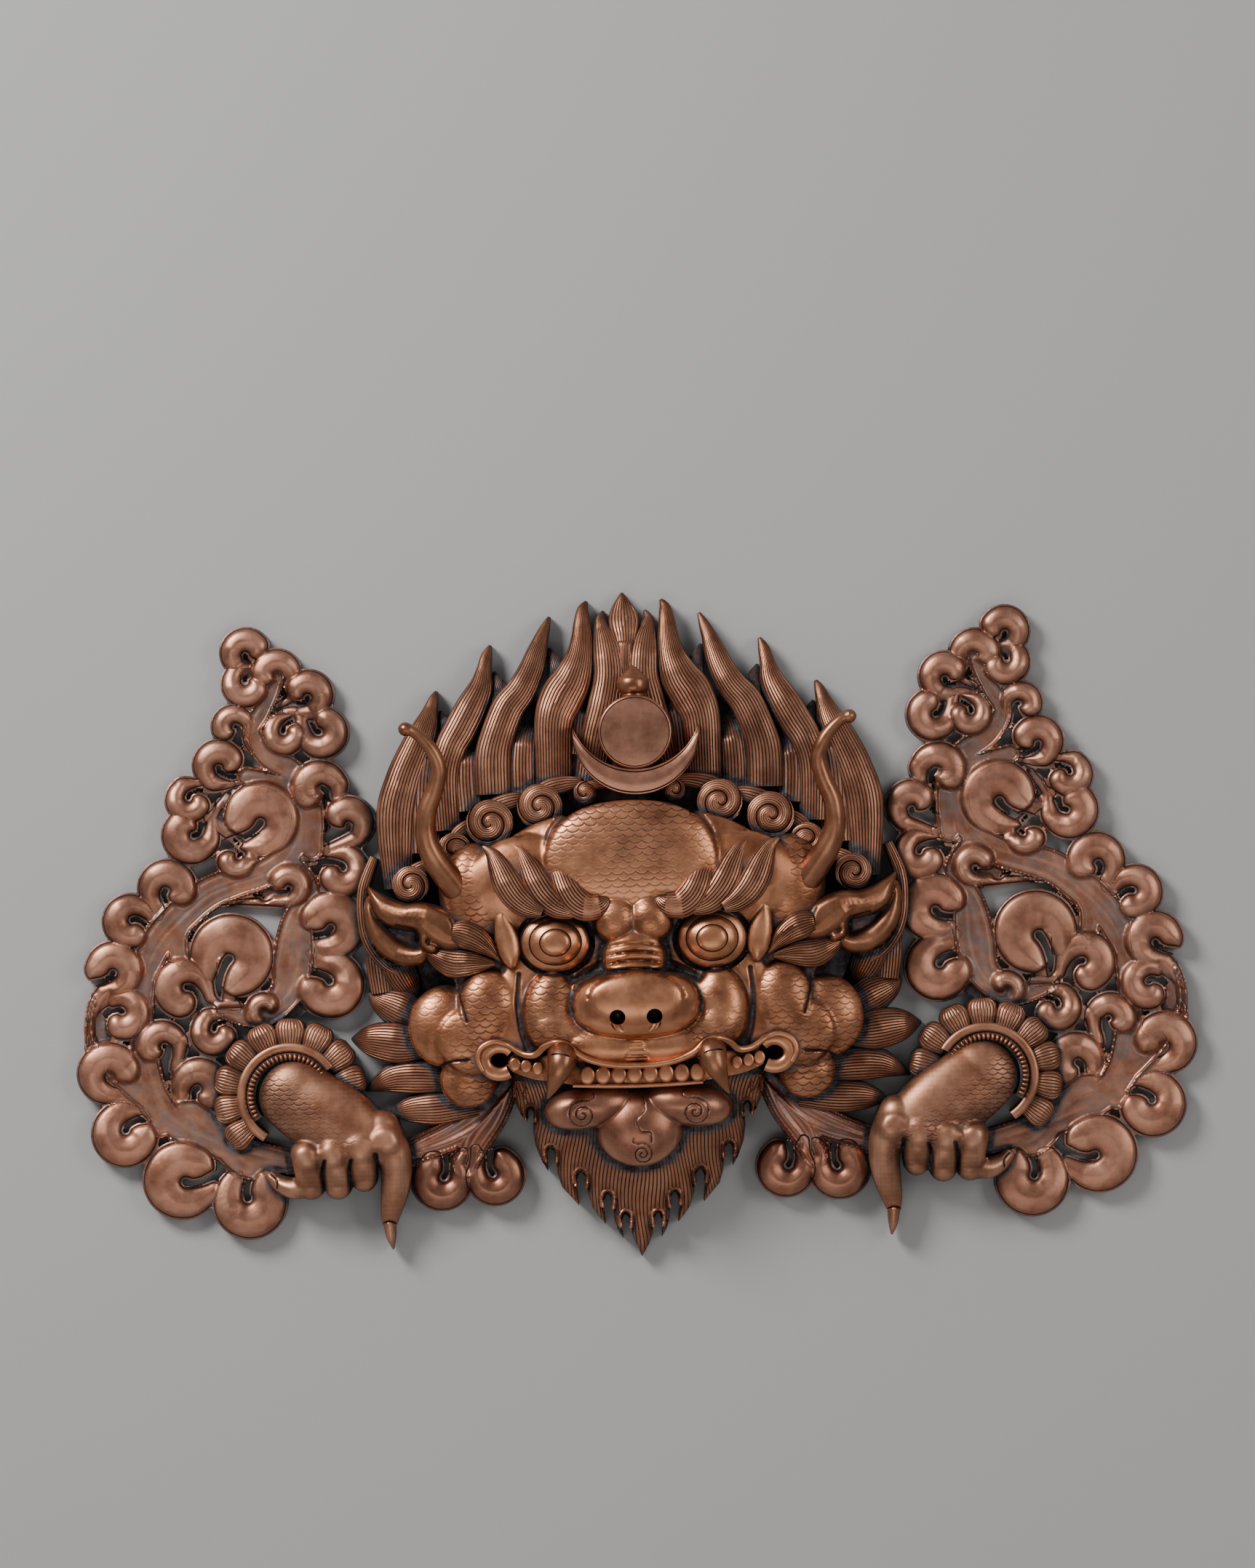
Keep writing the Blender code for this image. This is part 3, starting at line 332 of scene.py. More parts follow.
class Relief:
    """A hammered surface on a grid: how far inside the outline each place lies and how far it stands out."""

    def __init__(self, x0, z0, x1, z1, cell):
        self.cell = cell
        self.x, self.z = np.meshgrid(np.arange(x0, x1, cell), np.arange(z0, z1, cell), indexing="ij")
        self.corner = (x0, z0)
        shape = self.x.shape
        self.inside = np.full(shape, -9.0)
        self.height = np.zeros(shape)
        self.marks = {name: np.zeros(shape) for name in MARKS}

    def window(self, x0, z0, x1, z1):
        """The part of the grid around a box."""
        reach = 4
        limits = []
        for low, high, start, size in ((x0, x1, self.corner[0], self.x.shape[0]),
                                       (z0, z1, self.corner[1], self.x.shape[1])):
            first = max(0, int((low - start) / self.cell) - reach)
            limits.append(slice(first, min(size, int((high - start) / self.cell) + reach)))
        return tuple(limits)

    def lay(self, part, depth_in, height, **marks):
        """Lay a form over what is there: it shows wherever it stands out further."""
        near = depth_in > -2.5 * self.cell
        shows = near & ((depth_in > 0) | (self.inside[part] < 0)) & (height > self.height[part])
        self.height[part] = np.where(shows, height, self.height[part])
        for name, field in self.marks.items():
            field[part] = np.where(shows, marks.get(name, 0.0), field[part])
        self.inside[part] = np.maximum(self.inside[part], depth_in)

    def stroke(self, places, tops, profile, back=0.0, notch=(), **marks):
        """Lay a band of changing width along places (x, z, half width), less a notch."""
        places = np.asarray(places, float)
        w = places[:, 2].max()
        part = self.window(*(places[:, :2].min(0) - w), *(places[:, :2].max(0) + w))
        x, z = self.x[part], self.z[part]
        best = np.full(x.shape, -99.0)
        top = np.zeros(x.shape)
        tops = np.broadcast_to(np.asarray(tops, float), (len(places),))
        for (px, pz, pw), pt in zip(places, tops):
            d = pw - np.hypot(x - px, z - pz)
            closer = d > best
            best = np.where(closer, d, best)
            top = np.where(closer, pt, top)
        for px, pz, pw in notch:
            best = np.minimum(best, np.hypot(x - px, z - pz) - pw)
        self.lay(part, best, back + (top - back) * profile(np.maximum(best, 0), w), **marks)
        return part, best

    def mound(self, x, z, rx, rz, front, drop, tilt=0.0, power=2.0, soft=0.0, **marks):
        """Lay a rounded mound whose rim lies a drop below its top."""
        turn = math.radians(tilt)
        reach = max(rx, rz) + 6
        part = self.window(x - reach, z - reach, x + reach, z + reach)
        dx, dz = self.x[part] - x, self.z[part] - z
        u = (dx * math.cos(turn) + dz * math.sin(turn)) / rx
        v = (-dx * math.sin(turn) + dz * math.cos(turn)) / rz
        r = (np.abs(u) ** power + np.abs(v) ** power) ** (1 / power)
        size = min(rx, rz)
        cap = front - drop * (1 - np.sqrt(np.clip(1 - r * r, 0, 1))) - 3.0 * size * np.maximum(0, r - 1)
        if soft:
            now = self.height[part]
            ease = np.maximum(0, 1 - np.abs(cap - now) / soft)
            melt = soft * ease * ease / 4
            self.height[part] = np.where(cap <= now, now + melt, now)
            cap = cap + melt
        self.lay(part, (1 - r) * size, cap, **marks)

    def smooth(self, passes):
        """Melt the steps of the grid inside the outline."""
        for _ in range(passes):
            h = self.height
            mean = (np.roll(h, 1, 0) + np.roll(h, -1, 0) + np.roll(h, 1, 1) + np.roll(h, -1, 1)) / 4
            self.height = np.where(self.inside > 1.0, (h + mean) / 2, h)

    def cut(self, x, z, radius, floor):
        """Punch a round pit with a steep wall."""
        slope = 12.0
        r = np.hypot(self.x - x, self.z - z) - radius
        self.height = np.minimum(self.height, floor + slope * np.maximum(0, r))

    def chase(self, points, radius=0.7, deep=0.7, count=30):
        """Press a line into the surface."""
        places = along([(x, z, radius) for x, z in points], count)
        part = self.window(*(places[:, :2].min(0) - 2), *(places[:, :2].max(0) + 2))
        near = np.full(self.x[part].shape, 99.0)
        for px, pz, _ in places:
            near = np.minimum(near, np.hypot(self.x[part] - px, self.z[part] - pz))
        share = np.clip(1.4 - near / radius, 0, 1)
        self.height[part] -= deep * share
        self.marks["groove"][part] = np.maximum(self.marks["groove"][part], share)

    def shell(self, name, back, sparse_back=True):
        """Build the surface with its sides and back."""
        f, cell = self.inside, self.cell
        gx, gz = np.gradient(f, cell)
        steep = np.maximum(gx * gx + gz * gz, 0.3)
        move = np.where(f < 0, np.clip(-f / steep, 0, 1.5 * cell), 0)
        x, z = self.x + gx * move, self.z + gz * move
        held = f >= 0
        cells = held[:-1, :-1] | held[1:, :-1] | held[:-1, 1:] | held[1:, 1:]
        used = np.zeros(f.shape, bool)
        for i in (0, 1):
            for k in (0, 1):
                used[i:f.shape[0] - 1 + i, k:f.shape[1] - 1 + k] |= cells
        number = np.full(f.shape, -1)
        number[used] = np.arange(used.sum())
        count = used.sum()
        behind = np.broadcast_to(np.asarray(back, float), f.shape)
        front = np.maximum(self.height, behind + 0.4)
        top = np.column_stack([x[used], front[used], z[used]])
        under = np.column_stack([x[used], behind[used], z[used]])
        i, k = np.nonzero(cells)
        a, b, c, d = number[i, k], number[i + 1, k], number[i + 1, k + 1], number[i, k + 1]
        faces = [np.column_stack([a, b, c, d]), np.column_stack([d, c, b, a]) + count]
        open_cells = np.pad(cells, 1)
        sides = ((0, -1, (0, 0), (1, 0)), (1, 0, (1, 0), (1, 1)), (0, 1, (1, 1), (0, 1)),
                 (-1, 0, (0, 1), (0, 0)))
        for di, dk, first, second in sides:
            edge = cells & ~open_cells[1 + di:1 + di + cells.shape[0], 1 + dk:1 + dk + cells.shape[1]]
            i, k = np.nonzero(edge)
            p, q = number[i + first[0], k + first[1]], number[i + second[0], k + second[1]]
            faces.append(np.column_stack([q, p, p + count, q + count]))
        faces = np.vstack(faces)
        co = np.vstack([top, under])
        co = np.column_stack([co[:, 0], -co[:, 1], co[:, 2]]) * MM
        mesh = bpy.data.meshes.new(name)
        mesh.from_pydata(co.tolist(), [], faces.tolist())
        for title, field in self.marks.items():
            mark = mesh.attributes.new(title, "FLOAT", "POINT")
            values = np.concatenate([field[used], np.zeros(count)])
            mark.data.foreach_set("value", values.astype(np.float32))
        bm = bmesh.new()
        bm.from_mesh(mesh)
        if bm.calc_volume(signed=True) < 0:
            bmesh.ops.reverse_faces(bm, faces=bm.faces)
        if sparse_back:
            flat = -float(behind.max()) * MM
            low = [v for v in bm.verts if abs(v.co.y - flat) < 1e-6]
            bmesh.ops.dissolve_limit(bm, angle_limit=0.01, verts=low, edges=[])
        bm.to_mesh(mesh)
        bm.free()
        made = bpy.data.objects.new(name, mesh)
        bpy.context.scene.collection.objects.link(made)
        return made


def pillow(d, w):
    """A lobe: a flange, a chased line and a full rounded body."""
    rise = np.clip((d - 1.0) / 2.6, 0, 1)
    crown = np.clip((d - 1.0) / max(w, 4.0), 0, 1)
    return 0.64 + 0.02 * np.clip(d, 0, 1) + 0.13 * (1 - (1 - rise) ** 2) + 0.21 * (1 - (1 - crown) ** 2)


def plain(d, w):
    """A rounded body without a flange."""
    t = np.clip(d / (0.9 * w), 0, 1)
    return 0.62 + 0.38 * np.sqrt(np.clip(1 - (1 - t) ** 2, 0, 1))


def broad(d, w):
    """A nearly flat body with a rounded edge."""
    t = np.clip(d / min(w, 5.5), 0, 1)
    return 0.80 + 0.16 * np.sqrt(np.clip(1 - (1 - t) ** 2, 0, 1)) + 0.04 * np.clip(d / w, 0, 1)


def finger_shape(d, w):
    """A stout round form."""
    t = np.clip(d / w, 0, 1)
    return 0.70 + 0.30 * np.sqrt(np.clip(1 - (1 - t) ** 2, 0, 1))


def vine(d, w):
    """A stem: a bead along each edge and a hollow between them."""
    bead = np.exp(-((d - 1.1) / 0.9) ** 2)
    floor = 0.06 * np.clip((d - 2.6) / 3, 0, 1) - 0.05 * np.clip((d - 0.62 * w) / 3, 0, 1)
    return 0.74 + 0.26 * bead + floor


def flat_web(d, w):
    """A level sheet."""
    return np.full(d.shape, 0.62)


def lid_fold(d, w):
    """The soft fold of skin beside an eye."""
    return 0.93 + 0.07 * np.sqrt(np.clip(1 - (1 - d / w) ** 2, 0, 1))


def gum(d, w):
    """The level band that the teeth stand on."""
    return np.full(d.shape, 0.99)


def hook_rim(d, w):
    """The thin raised rim around a notch of the beard."""
    return 0.94 + 0.06 * np.clip(d / w, 0, 1)


def comma(x, z, radius, half, start, end, stem):
    """Places of a fat scroll from its free end round to its stem, and of the notch between the two."""
    full = radius + half
    knots = []
    for t in np.linspace(0, 1, 9):
        a = math.radians(start + (end - start) * t)
        w = full * (0.56 - 0.20 * max(0, t - 0.4) / 0.6)
        knots.append((x + (full - w) * math.cos(a), z + (full - w) * math.sin(a), w))
    for sx, sz in stem:
        w = max(1.8, w * 0.7)
        knots.append((sx, sz, w))
    way = 1 if end > start else -1
    gap = 360 - abs(end - start)
    notch = []
    for share, turn, w in ((0.10, 0.95, 0.085), (0.26, 0.8, 0.075), (0.5, 0.62, 0.07), (0.8, 0.5, 0.10),
                           (1.1, 0.5, 0.2)):
        a = math.radians(start - way * gap * turn)
        notch.append((x + full * share * math.cos(a), z + full * share * math.sin(a), full * w))
    return along(knots, 110), along(notch, 26)


def curl_disc(x, z, radius, front):
    """A rolled-up lock: a rounded band of chased lines that winds into its centre."""
    arms, pitch, rings = 6, 1.5, 52
    shares = np.array([0.0, 0.25, 0.5, 0.75])
    turn = (np.arange(arms)[:, None] + shares).ravel() / arms
    line = np.tile([0.75, 0, 0, 0], arms)
    line[0] = 1.6
    band = np.sqrt(np.clip(1 - (2 * turn - 1) ** 2, 0, 1))
    points, marks = [], []
    levels = [1.0, 1.0] + list(np.linspace(0.985, 0.03, rings))
    for k, share in enumerate(levels):
        rho = radius * share
        a = 2 * np.pi * (turn - rho / (pitch * arms))
        ease = min(1, rho / 4)
        depth = front - 3.5 * share ** 3 - (2.8 * (1 - band) + 0.4 * line) * ease
        g = line * min(1, rho / 2)
        if k == 0:
            depth, g = np.zeros(len(line)), line * 0
        points.append(np.column_stack([x + rho * np.cos(a), depth, z + rho * np.sin(a)]))
        marks.append(g)
    return new_shell("curl", np.vstack(points), ring_faces(len(levels), len(line)), np.concatenate(marks))


def dome(x, z, rx, rz, back, front, wall=0.5, tilt=0, sides=48, rings=12, power=2.0):
    """A mound with a flat back: a wall up to a share of its depth, then a rounded top."""
    turn = math.radians(tilt)
    base = back + (front - back) * wall
    levels = [(1.0, back)]
    for k in range(rings):
        t = math.radians(90 * k / rings)
        levels.append((math.cos(t) ** (2 / power), base + (front - base) * math.sin(t)))
    a = 2 * np.pi * (np.arange(sides) + 0.5) / sides
    points = []
    for share, depth in levels:
        px, pz = rx * share * np.cos(a), rz * share * np.sin(a)
        points.append(np.column_stack([x + px * math.cos(turn) - pz * math.sin(turn), np.full(sides, depth),
                                       z + px * math.sin(turn) + pz * math.cos(turn)]))
    points.append(np.array([[x, front, z]]))
    faces = [tuple(range(sides))]
    rows = len(levels)
    for k in range(rows - 1):
        for i in range(sides):
            p, q = k * sides + i, k * sides + (i + 1) % sides
            faces.append((p, q, q + sides, p + sides))
    top = rows * sides
    last = (rows - 1) * sides
    for i in range(sides):
        faces.append((last + i, last + (i + 1) % sides, top))
    return new_shell("dome", np.vstack(points), faces)


def tube(points, count=24, sides=16, mark=0.0):
    """A round bar along points (x, z, depth, radius), with rounded ends."""
    p = along(points, count)
    centre = np.column_stack([p[:, 0], p[:, 2], p[:, 1]])
    run = tangents(centre)
    ends = []
    for i, sign in ((0, -1), (-1, 1)):
        extra = []
        for a in (30, 60, 82):
            step = math.radians(a)
            at = centre[i] + sign * run[i] * p[i, 3] * math.sin(step)
            extra.append((at, p[i, 3] * math.cos(step), run[i]))
        ends.append(extra)
    rows = [(c, r, d) for c, r, d in reversed(ends[0])]
    rows += [(centre[i], p[i, 3], run[i]) for i in range(count)]
    rows += ends[1]
    points = []
    for c, r, d in rows:
        side = np.cross(d, (0, 1, 0.001))
        side /= np.linalg.norm(side)
        up = np.cross(side, d)
        for k in range(sides):
            a = 2 * math.pi * k / sides
            points.append(c + (side * math.cos(a) + up * math.sin(a)) * r)
    return new_shell("tube", points, ring_faces(len(rows), sides), np.full(len(points), mark))


def mirrored(shell):
    """A copy on the other side of the middle plane."""
    copy = shell.copy()
    copy.data = shell.data.copy()
    bpy.context.scene.collection.objects.link(copy)
    co = np.empty(len(copy.data.vertices) * 3, np.float32)
    copy.data.vertices.foreach_get("co", co)
    co[0::3] *= -1
    copy.data.vertices.foreach_set("co", co)
    copy.data.flip_normals()
    copy.data.update()
    return copy


def both_sides(shells):
    """The shells and their mirror images."""
    return shells + [mirrored(shell) for shell in shells]


def keep_evaluated(shell):
    """Make the shape that the modifiers give the shell's own mesh."""
    view = bpy.context.evaluated_depsgraph_get()
    mesh = bpy.data.meshes.new_from_object(shell.evaluated_get(view))
    shell.modifiers.clear()
    shell.data = mesh


def combine(shell, others, operation="UNION"):
    """Join or cut closed shells."""
    group = bpy.data.collections.new("operands")
    for other in others:
        group.objects.link(other)
    change = shell.modifiers.new("shape", "BOOLEAN")
    change.operation = operation
    change.solver = "MANIFOLD"
    change.operand_type = "COLLECTION"
    change.collection = group
    keep_evaluated(shell)
    bpy.data.collections.remove(group)
    for other in others:
        bpy.data.objects.remove(other)
    return shell


def fewer(shell, triangles):
    """Collapse flat stretches down to about this many triangles."""
    shell.data.calc_loop_triangles()
    now = len(shell.data.loop_triangles)
    if now > triangles:
        change = shell.modifiers.new("fewer", "DECIMATE")
        change.ratio = triangles / now
        keep_evaluated(shell)
    return shell


FINISHED = []
PROUD = ("horn", "fang", "crescent", "disc", "jewel")  # stand clear of what lies behind them


def finish_piece(shell, name, nodes, material, angle=42):
    """Name a piece, let it stand for its nodes, and give it its metal."""
    shell.name = name
    shell.data.name = name
    shell.data.materials.clear()
    shell.data.materials.append(material)
    for obj in bpy.context.selected_objects:
        obj.select_set(False)
    shell.select_set(True)
    bpy.context.view_layer.objects.active = shell
    bpy.ops.object.shade_smooth_by_angle(angle=math.radians(angle))
    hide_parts(*nodes)
    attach(shell, "root")
    FINISHED.append(shell)


def finish_pair(shell, name, material, angle=42):
    """Finish the left piece and its mirror image on the right."""
    twin = mirrored(shell)
    finish_piece(shell, f"{name}_left_relief", [f"{name}_left"], material, angle)
    finish_piece(twin, f"{name}_right_relief", [f"{name}_right"], material, angle)


# Metals

DARK_PATINA_AND_SHADE = (0.022, 0.020, 0.024)
GREY_BLOOM = (0.18, 0.165, 0.16)
GREY_POWDER = (0.15, 0.148, 0.165)
BUMP_DEPTH = 0.00035


def link(tree, a, b):
    """Join an output to an input."""
    tree.links.new(a, b)


def math_node(tree, operation, a, b=None, clamp=False):
    """One sum of two sockets or numbers."""
    node = tree.nodes.new("ShaderNodeMath")
    node.operation = operation
    node.use_clamp = clamp
    for socket, value in zip(node.inputs, (a, b)):
        if value is None:
            continue
        if isinstance(value, (int, float)):
            socket.default_value = value
        else:
            link(tree, value, socket)
    return node.outputs[0]


def mix_colour(tree, factor, a, b, mode="MIX"):
    """Blend two colours."""
    node = tree.nodes.new("ShaderNodeMix")
    node.data_type = "RGBA"
    node.blend_type = mode
    for socket, value in ((node.inputs[0], factor), (node.inputs[6], a), (node.inputs[7], b)):
        if isinstance(value, (int, float)):
            socket.default_value = value
        elif isinstance(value, tuple):
            socket.default_value = (*value, 1)
        else:
            link(tree, value, socket)
    return node.outputs[2]


def noise(tree, vector, scale, detail, rough=0.55):
    """Cloudy noise."""
    node = tree.nodes.new("ShaderNodeTexNoise")
    node.inputs["Scale"].default_value = scale
    node.inputs["Detail"].default_value = detail
    node.inputs["Roughness"].default_value = rough
    link(tree, vector, node.inputs["Vector"])
    return node.outputs["Fac"]


def ramp(tree, value, low, high, to_low=0.0, to_high=1.0):
    """Stretch a range of a value over another range."""
    node = tree.nodes.new("ShaderNodeMapRange")
    node.inputs["From Min"].default_value = low
    node.inputs["From Max"].default_value = high
    node.inputs["To Min"].default_value = to_low
    node.inputs["To Max"].default_value = to_high
    link(tree, value, node.inputs["Value"])
    return node.outputs[0]


def new_group(name, inputs, outputs):
    """An empty node group with its sockets."""
    group = bpy.data.node_groups.new(name, "ShaderNodeTree")
    for title, kind, value in inputs:
        socket = group.interface.new_socket(title, in_out="INPUT", socket_type=kind)
        if value is not None:
            socket.default_value = value
    for title, kind in outputs:
        group.interface.new_socket(title, in_out="OUTPUT", socket_type=kind)
    return group, group.nodes.new("NodeGroupInput").outputs, group.nodes.new("NodeGroupOutput").inputs


def patina_and_shading_group():
    """Colour, roughness and height of oxidised copper: dark patina with painted shade in its hollows, rubbed
    bright with a painted highlight on its highs.
    """
    tree, given, out = new_group(
        "patina",
        (("Place", "NodeSocketVector", None), ("Cavity", "NodeSocketFloat", 0.0),
         ("Groove", "NodeSocketFloat", 0.0), ("Rub", "NodeSocketFloat", 0.5),
         ("Dust", "NodeSocketFloat", 0.0), ("Body", "NodeSocketColor", (0.3, 0.12, 0.06, 1)),
         ("Bright", "NodeSocketColor", (0.6, 0.3, 0.18, 1)),
         ("Dark", "NodeSocketColor", (0.02, 0.018, 0.02, 1))),
        (("Color", "NodeSocketColor"), ("Roughness", "NodeSocketFloat"), ("Height", "NodeSocketFloat")),
    )
    place = given["Place"]
    broad = noise(tree, place, 14, 3)
    middle = noise(tree, place, 70, 5, 0.6)
    fine = noise(tree, place, 420, 4, 0.6)
    blotch = ramp(tree, broad, 0.35, 0.68)
    # Painted highlight: raised places turn to the bright colour, part rubbed wear and part painted
    # highlight.
    rub_and_highlight = math_node(tree, "MULTIPLY", ramp(tree, given["Cavity"], -0.42, 0.0, 1.0, 0.0), given["Rub"])
    rub_and_highlight = math_node(tree, "MULTIPLY", rub_and_highlight, ramp(tree, middle, 0.3, 0.62, 0.45, 1.0), True)
    body = mix_colour(tree, ramp(tree, middle, 0.35, 0.7, 0.0, 0.45), given["Body"], given["Bright"])
    body = mix_colour(tree, math_node(tree, "MULTIPLY", blotch, 0.35), body, given["Dark"], "MULTIPLY")
    colour = mix_colour(tree, rub_and_highlight, body, given["Bright"])
    cavity = math_node(tree, "ADD", given["Cavity"], ramp(tree, middle, 0.3, 0.7, -0.10, 0.12))
    dust = ramp(tree, cavity, 0.04, 0.30, 0.0, 0.55)
    dust = math_node(tree, "MULTIPLY", dust, ramp(tree, noise(tree, place, 240, 5, 0.7), 0.42, 0.60))
    colour = mix_colour(tree, math_node(tree, "MAXIMUM", dust, given["Dust"], True), colour, GREY_BLOOM)
    # Painted shade: hollows and chased lines darken towards the dark colour, part patina and part painted
    # shade.
    cavity = ramp(tree, cavity, 0.16, 0.66, 0.0, 0.93)
    groove = ramp(tree, math_node(tree, "ADD", given["Groove"], ramp(tree, fine, 0.3, 0.7, -0.10, 0.10)),
                  0.22, 0.68, 0.0, 0.93)
    patina_and_painted_shade = math_node(tree, "MAXIMUM", cavity, groove, True)
    powder = ramp(tree, noise(tree, place, 130, 6, 0.75), 0.40, 0.62, 0.0, 0.75)
    powder = math_node(tree, "MULTIPLY", powder, ramp(tree, cavity, 0.15, 0.5))
    colour = mix_colour(tree, patina_and_painted_shade, colour, mix_colour(tree, powder, given["Dark"], GREY_POWDER))
    specks = ramp(tree, fine, 0.66, 0.72, 0.0, 0.55)
    colour = mix_colour(tree, math_node(tree, "MULTIPLY", specks, blotch), colour, given["Dark"])
    rough = math_node(tree, "ADD", ramp(tree, middle, 0.3, 0.7, 0.29, 0.42),
                      math_node(tree, "MULTIPLY", patina_and_painted_shade, 0.3))
    rough = math_node(tree, "SUBTRACT", rough, math_node(tree, "MULTIPLY", rub_and_highlight, 0.06))
    height = math_node(tree, "ADD", math_node(tree, "MULTIPLY", middle, 0.7),
                       math_node(tree, "MULTIPLY", fine, 0.3))
    link(tree, colour, out["Color"])
    link(tree, rough, out["Roughness"])
    link(tree, height, out["Height"])
    return tree


def scale_group():
    """Overlapping fish scales chased in lines: 1 on the lines and 0 between them."""
    tree, given, out = new_group(
        "chased scales",
        (("Place", "NodeSocketVector", None), ("Size", "NodeSocketFloat", 0.0055),
         ("Line", "NodeSocketFloat", 0.12)),
        (("Line", "NodeSocketFloat"),),
    )
    wander = tree.nodes.new("ShaderNodeTexNoise")
    wander.inputs["Scale"].default_value = 60
    wander.inputs["Detail"].default_value = 1
    link(tree, given["Place"], wander.inputs["Vector"])
    shift = tree.nodes.new("ShaderNodeVectorMath")
    shift.operation = "MULTIPLY_ADD"
    link(tree, wander.outputs["Color"], shift.inputs[0])
    shift.inputs[1].default_value = (0.002, 0.002, 0.002)
    link(tree, given["Place"], shift.inputs[2])
    split = tree.nodes.new("ShaderNodeSeparateXYZ")
    link(tree, shift.outputs[0], split.inputs[0])
    x = math_node(tree, "DIVIDE", split.outputs["X"], given["Size"])
    z = math_node(tree, "DIVIDE", split.outputs["Z"], math_node(tree, "MULTIPLY", given["Size"], 0.5))
    lines, reaches = [], []
    for lower in (0, 1):
        row = math_node(tree, "ADD", math_node(tree, "FLOOR", z), 1.0 + lower)
        odd = math_node(tree, "MULTIPLY", math_node(tree, "FLOORED_MODULO", row, 2), 0.5)
        across = math_node(tree, "SUBTRACT", math_node(tree, "FRACT", math_node(tree, "ADD", x, odd)), 0.5)
        down = math_node(tree, "MULTIPLY", math_node(tree, "SUBTRACT", row, z), 0.5)
        reach = math_node(tree, "SQRT", math_node(tree, "ADD", math_node(tree, "MULTIPLY", across, across),
                                                  math_node(tree, "MULTIPLY", down, down)))
        off = math_node(tree, "ABSOLUTE", math_node(tree, "SUBTRACT", reach, 0.66))
        lines.append(math_node(tree, "SUBTRACT", 1.0, math_node(tree, "DIVIDE", off, given["Line"]), True))
        reaches.append(reach)
    open_part = math_node(tree, "GREATER_THAN", reaches[1], 0.66)
    line = math_node(tree, "MAXIMUM", lines[1], math_node(tree, "MULTIPLY", lines[0], open_part))
    link(tree, line, out["Line"])
    return tree


PATINA_AND_SHADING = patina_and_shading_group()
SCALES = scale_group()


def copper(name, body, bright, rub_and_highlight, scales=0.0, size=0.0, patina_and_shading_strength=1.0, dull=0.0):
    """Aged copper: patina and painted shade in the recesses, rubbed bright highs with a painted highlight
    and, where wanted, chased scales.
    """
    made = bpy.data.materials.new(name)
    made.use_nodes = True
    tree = made.node_tree
    shader = tree.nodes["Principled BSDF"]
    shader.inputs["Metallic"].default_value = 0.92
    place = tree.nodes.new("ShaderNodeTexCoord").outputs["Object"]
    marks = {}
    for title in ("cavity", *MARKS):
        reader = tree.nodes.new("ShaderNodeAttribute")
        reader.attribute_name = title
        marks[title] = reader.outputs["Fac"]
    off_line = math_node(tree, "ABSOLUTE", math_node(tree, "SUBTRACT", marks["border"], 1.3))
    chased = math_node(tree, "SUBTRACT", 1.0, math_node(tree, "DIVIDE", off_line, 0.62), True)
    phase = math_node(tree, "FRACT", marks["phase"])
    between = math_node(tree, "ABSOLUTE", math_node(tree, "SUBTRACT", phase, 0.5))
    strand = ramp(tree, between, 0.5, 0.30, 1.0, 0.0)
    chased = math_node(tree, "MAXIMUM", chased, math_node(tree, "MULTIPLY", strand, marks["comb"]))
    height_more = math_node(tree, "MULTIPLY", chased, -2.4)
    groove = math_node(tree, "MAXIMUM", marks["groove"], chased)
    if scales:
        net = tree.nodes.new("ShaderNodeGroup")
        net.node_tree = SCALES
        net.inputs["Size"].default_value = size
        link(tree, place, net.inputs["Place"])
        faint = ramp(tree, noise(tree, place, 9, 2), 0.36, 0.56, 0.35, 1.0)
        line = math_node(tree, "MULTIPLY", net.outputs["Line"],
                         math_node(tree, "MULTIPLY", faint, marks["scaly"]))
        height_more = math_node(tree, "ADD", height_more, math_node(tree, "MULTIPLY", line, -0.5))
        groove = math_node(tree, "MAXIMUM", groove, math_node(tree, "MULTIPLY", line, scales))
    wear_and_shading_node = tree.nodes.new("ShaderNodeGroup")
    wear_and_shading_node.node_tree = PATINA_AND_SHADING
    link(tree, place, wear_and_shading_node.inputs["Place"])
    # The cavity mark drives patina and painted shade in the hollows and the painted highlight on the highs.
    link(tree, math_node(tree, "MULTIPLY", marks["cavity"], patina_and_shading_strength), wear_and_shading_node.inputs["Cavity"])
    link(tree, groove, wear_and_shading_node.inputs["Groove"])
    cloud = ramp(tree, noise(tree, place, 55, 6, 0.75), 0.44, 0.62, 0.0, 0.8)
    link(tree, math_node(tree, "MULTIPLY", marks["dusty"], cloud), wear_and_shading_node.inputs["Dust"])
    wear_and_shading_node.inputs["Rub"].default_value = rub_and_highlight
    wear_and_shading_node.inputs["Body"].default_value = (*body, 1)
    wear_and_shading_node.inputs["Bright"].default_value = (*bright, 1)
    wear_and_shading_node.inputs["Dark"].default_value = (*DARK_PATINA_AND_SHADE, 1)
    link(tree, wear_and_shading_node.outputs["Color"], shader.inputs["Base Color"])
    link(tree, math_node(tree, "ADD", wear_and_shading_node.outputs["Roughness"], dull), shader.inputs["Roughness"])
    relief = tree.nodes.new("ShaderNodeBump")
    relief.inputs["Strength"].default_value = 0.6
    relief.inputs["Distance"].default_value = BUMP_DEPTH
    height = math_node(tree, "ADD", wear_and_shading_node.outputs["Height"], height_more)
    link(tree, height, relief.inputs["Height"])
    link(tree, relief.outputs["Normal"], shader.inputs["Normal"])
    return made


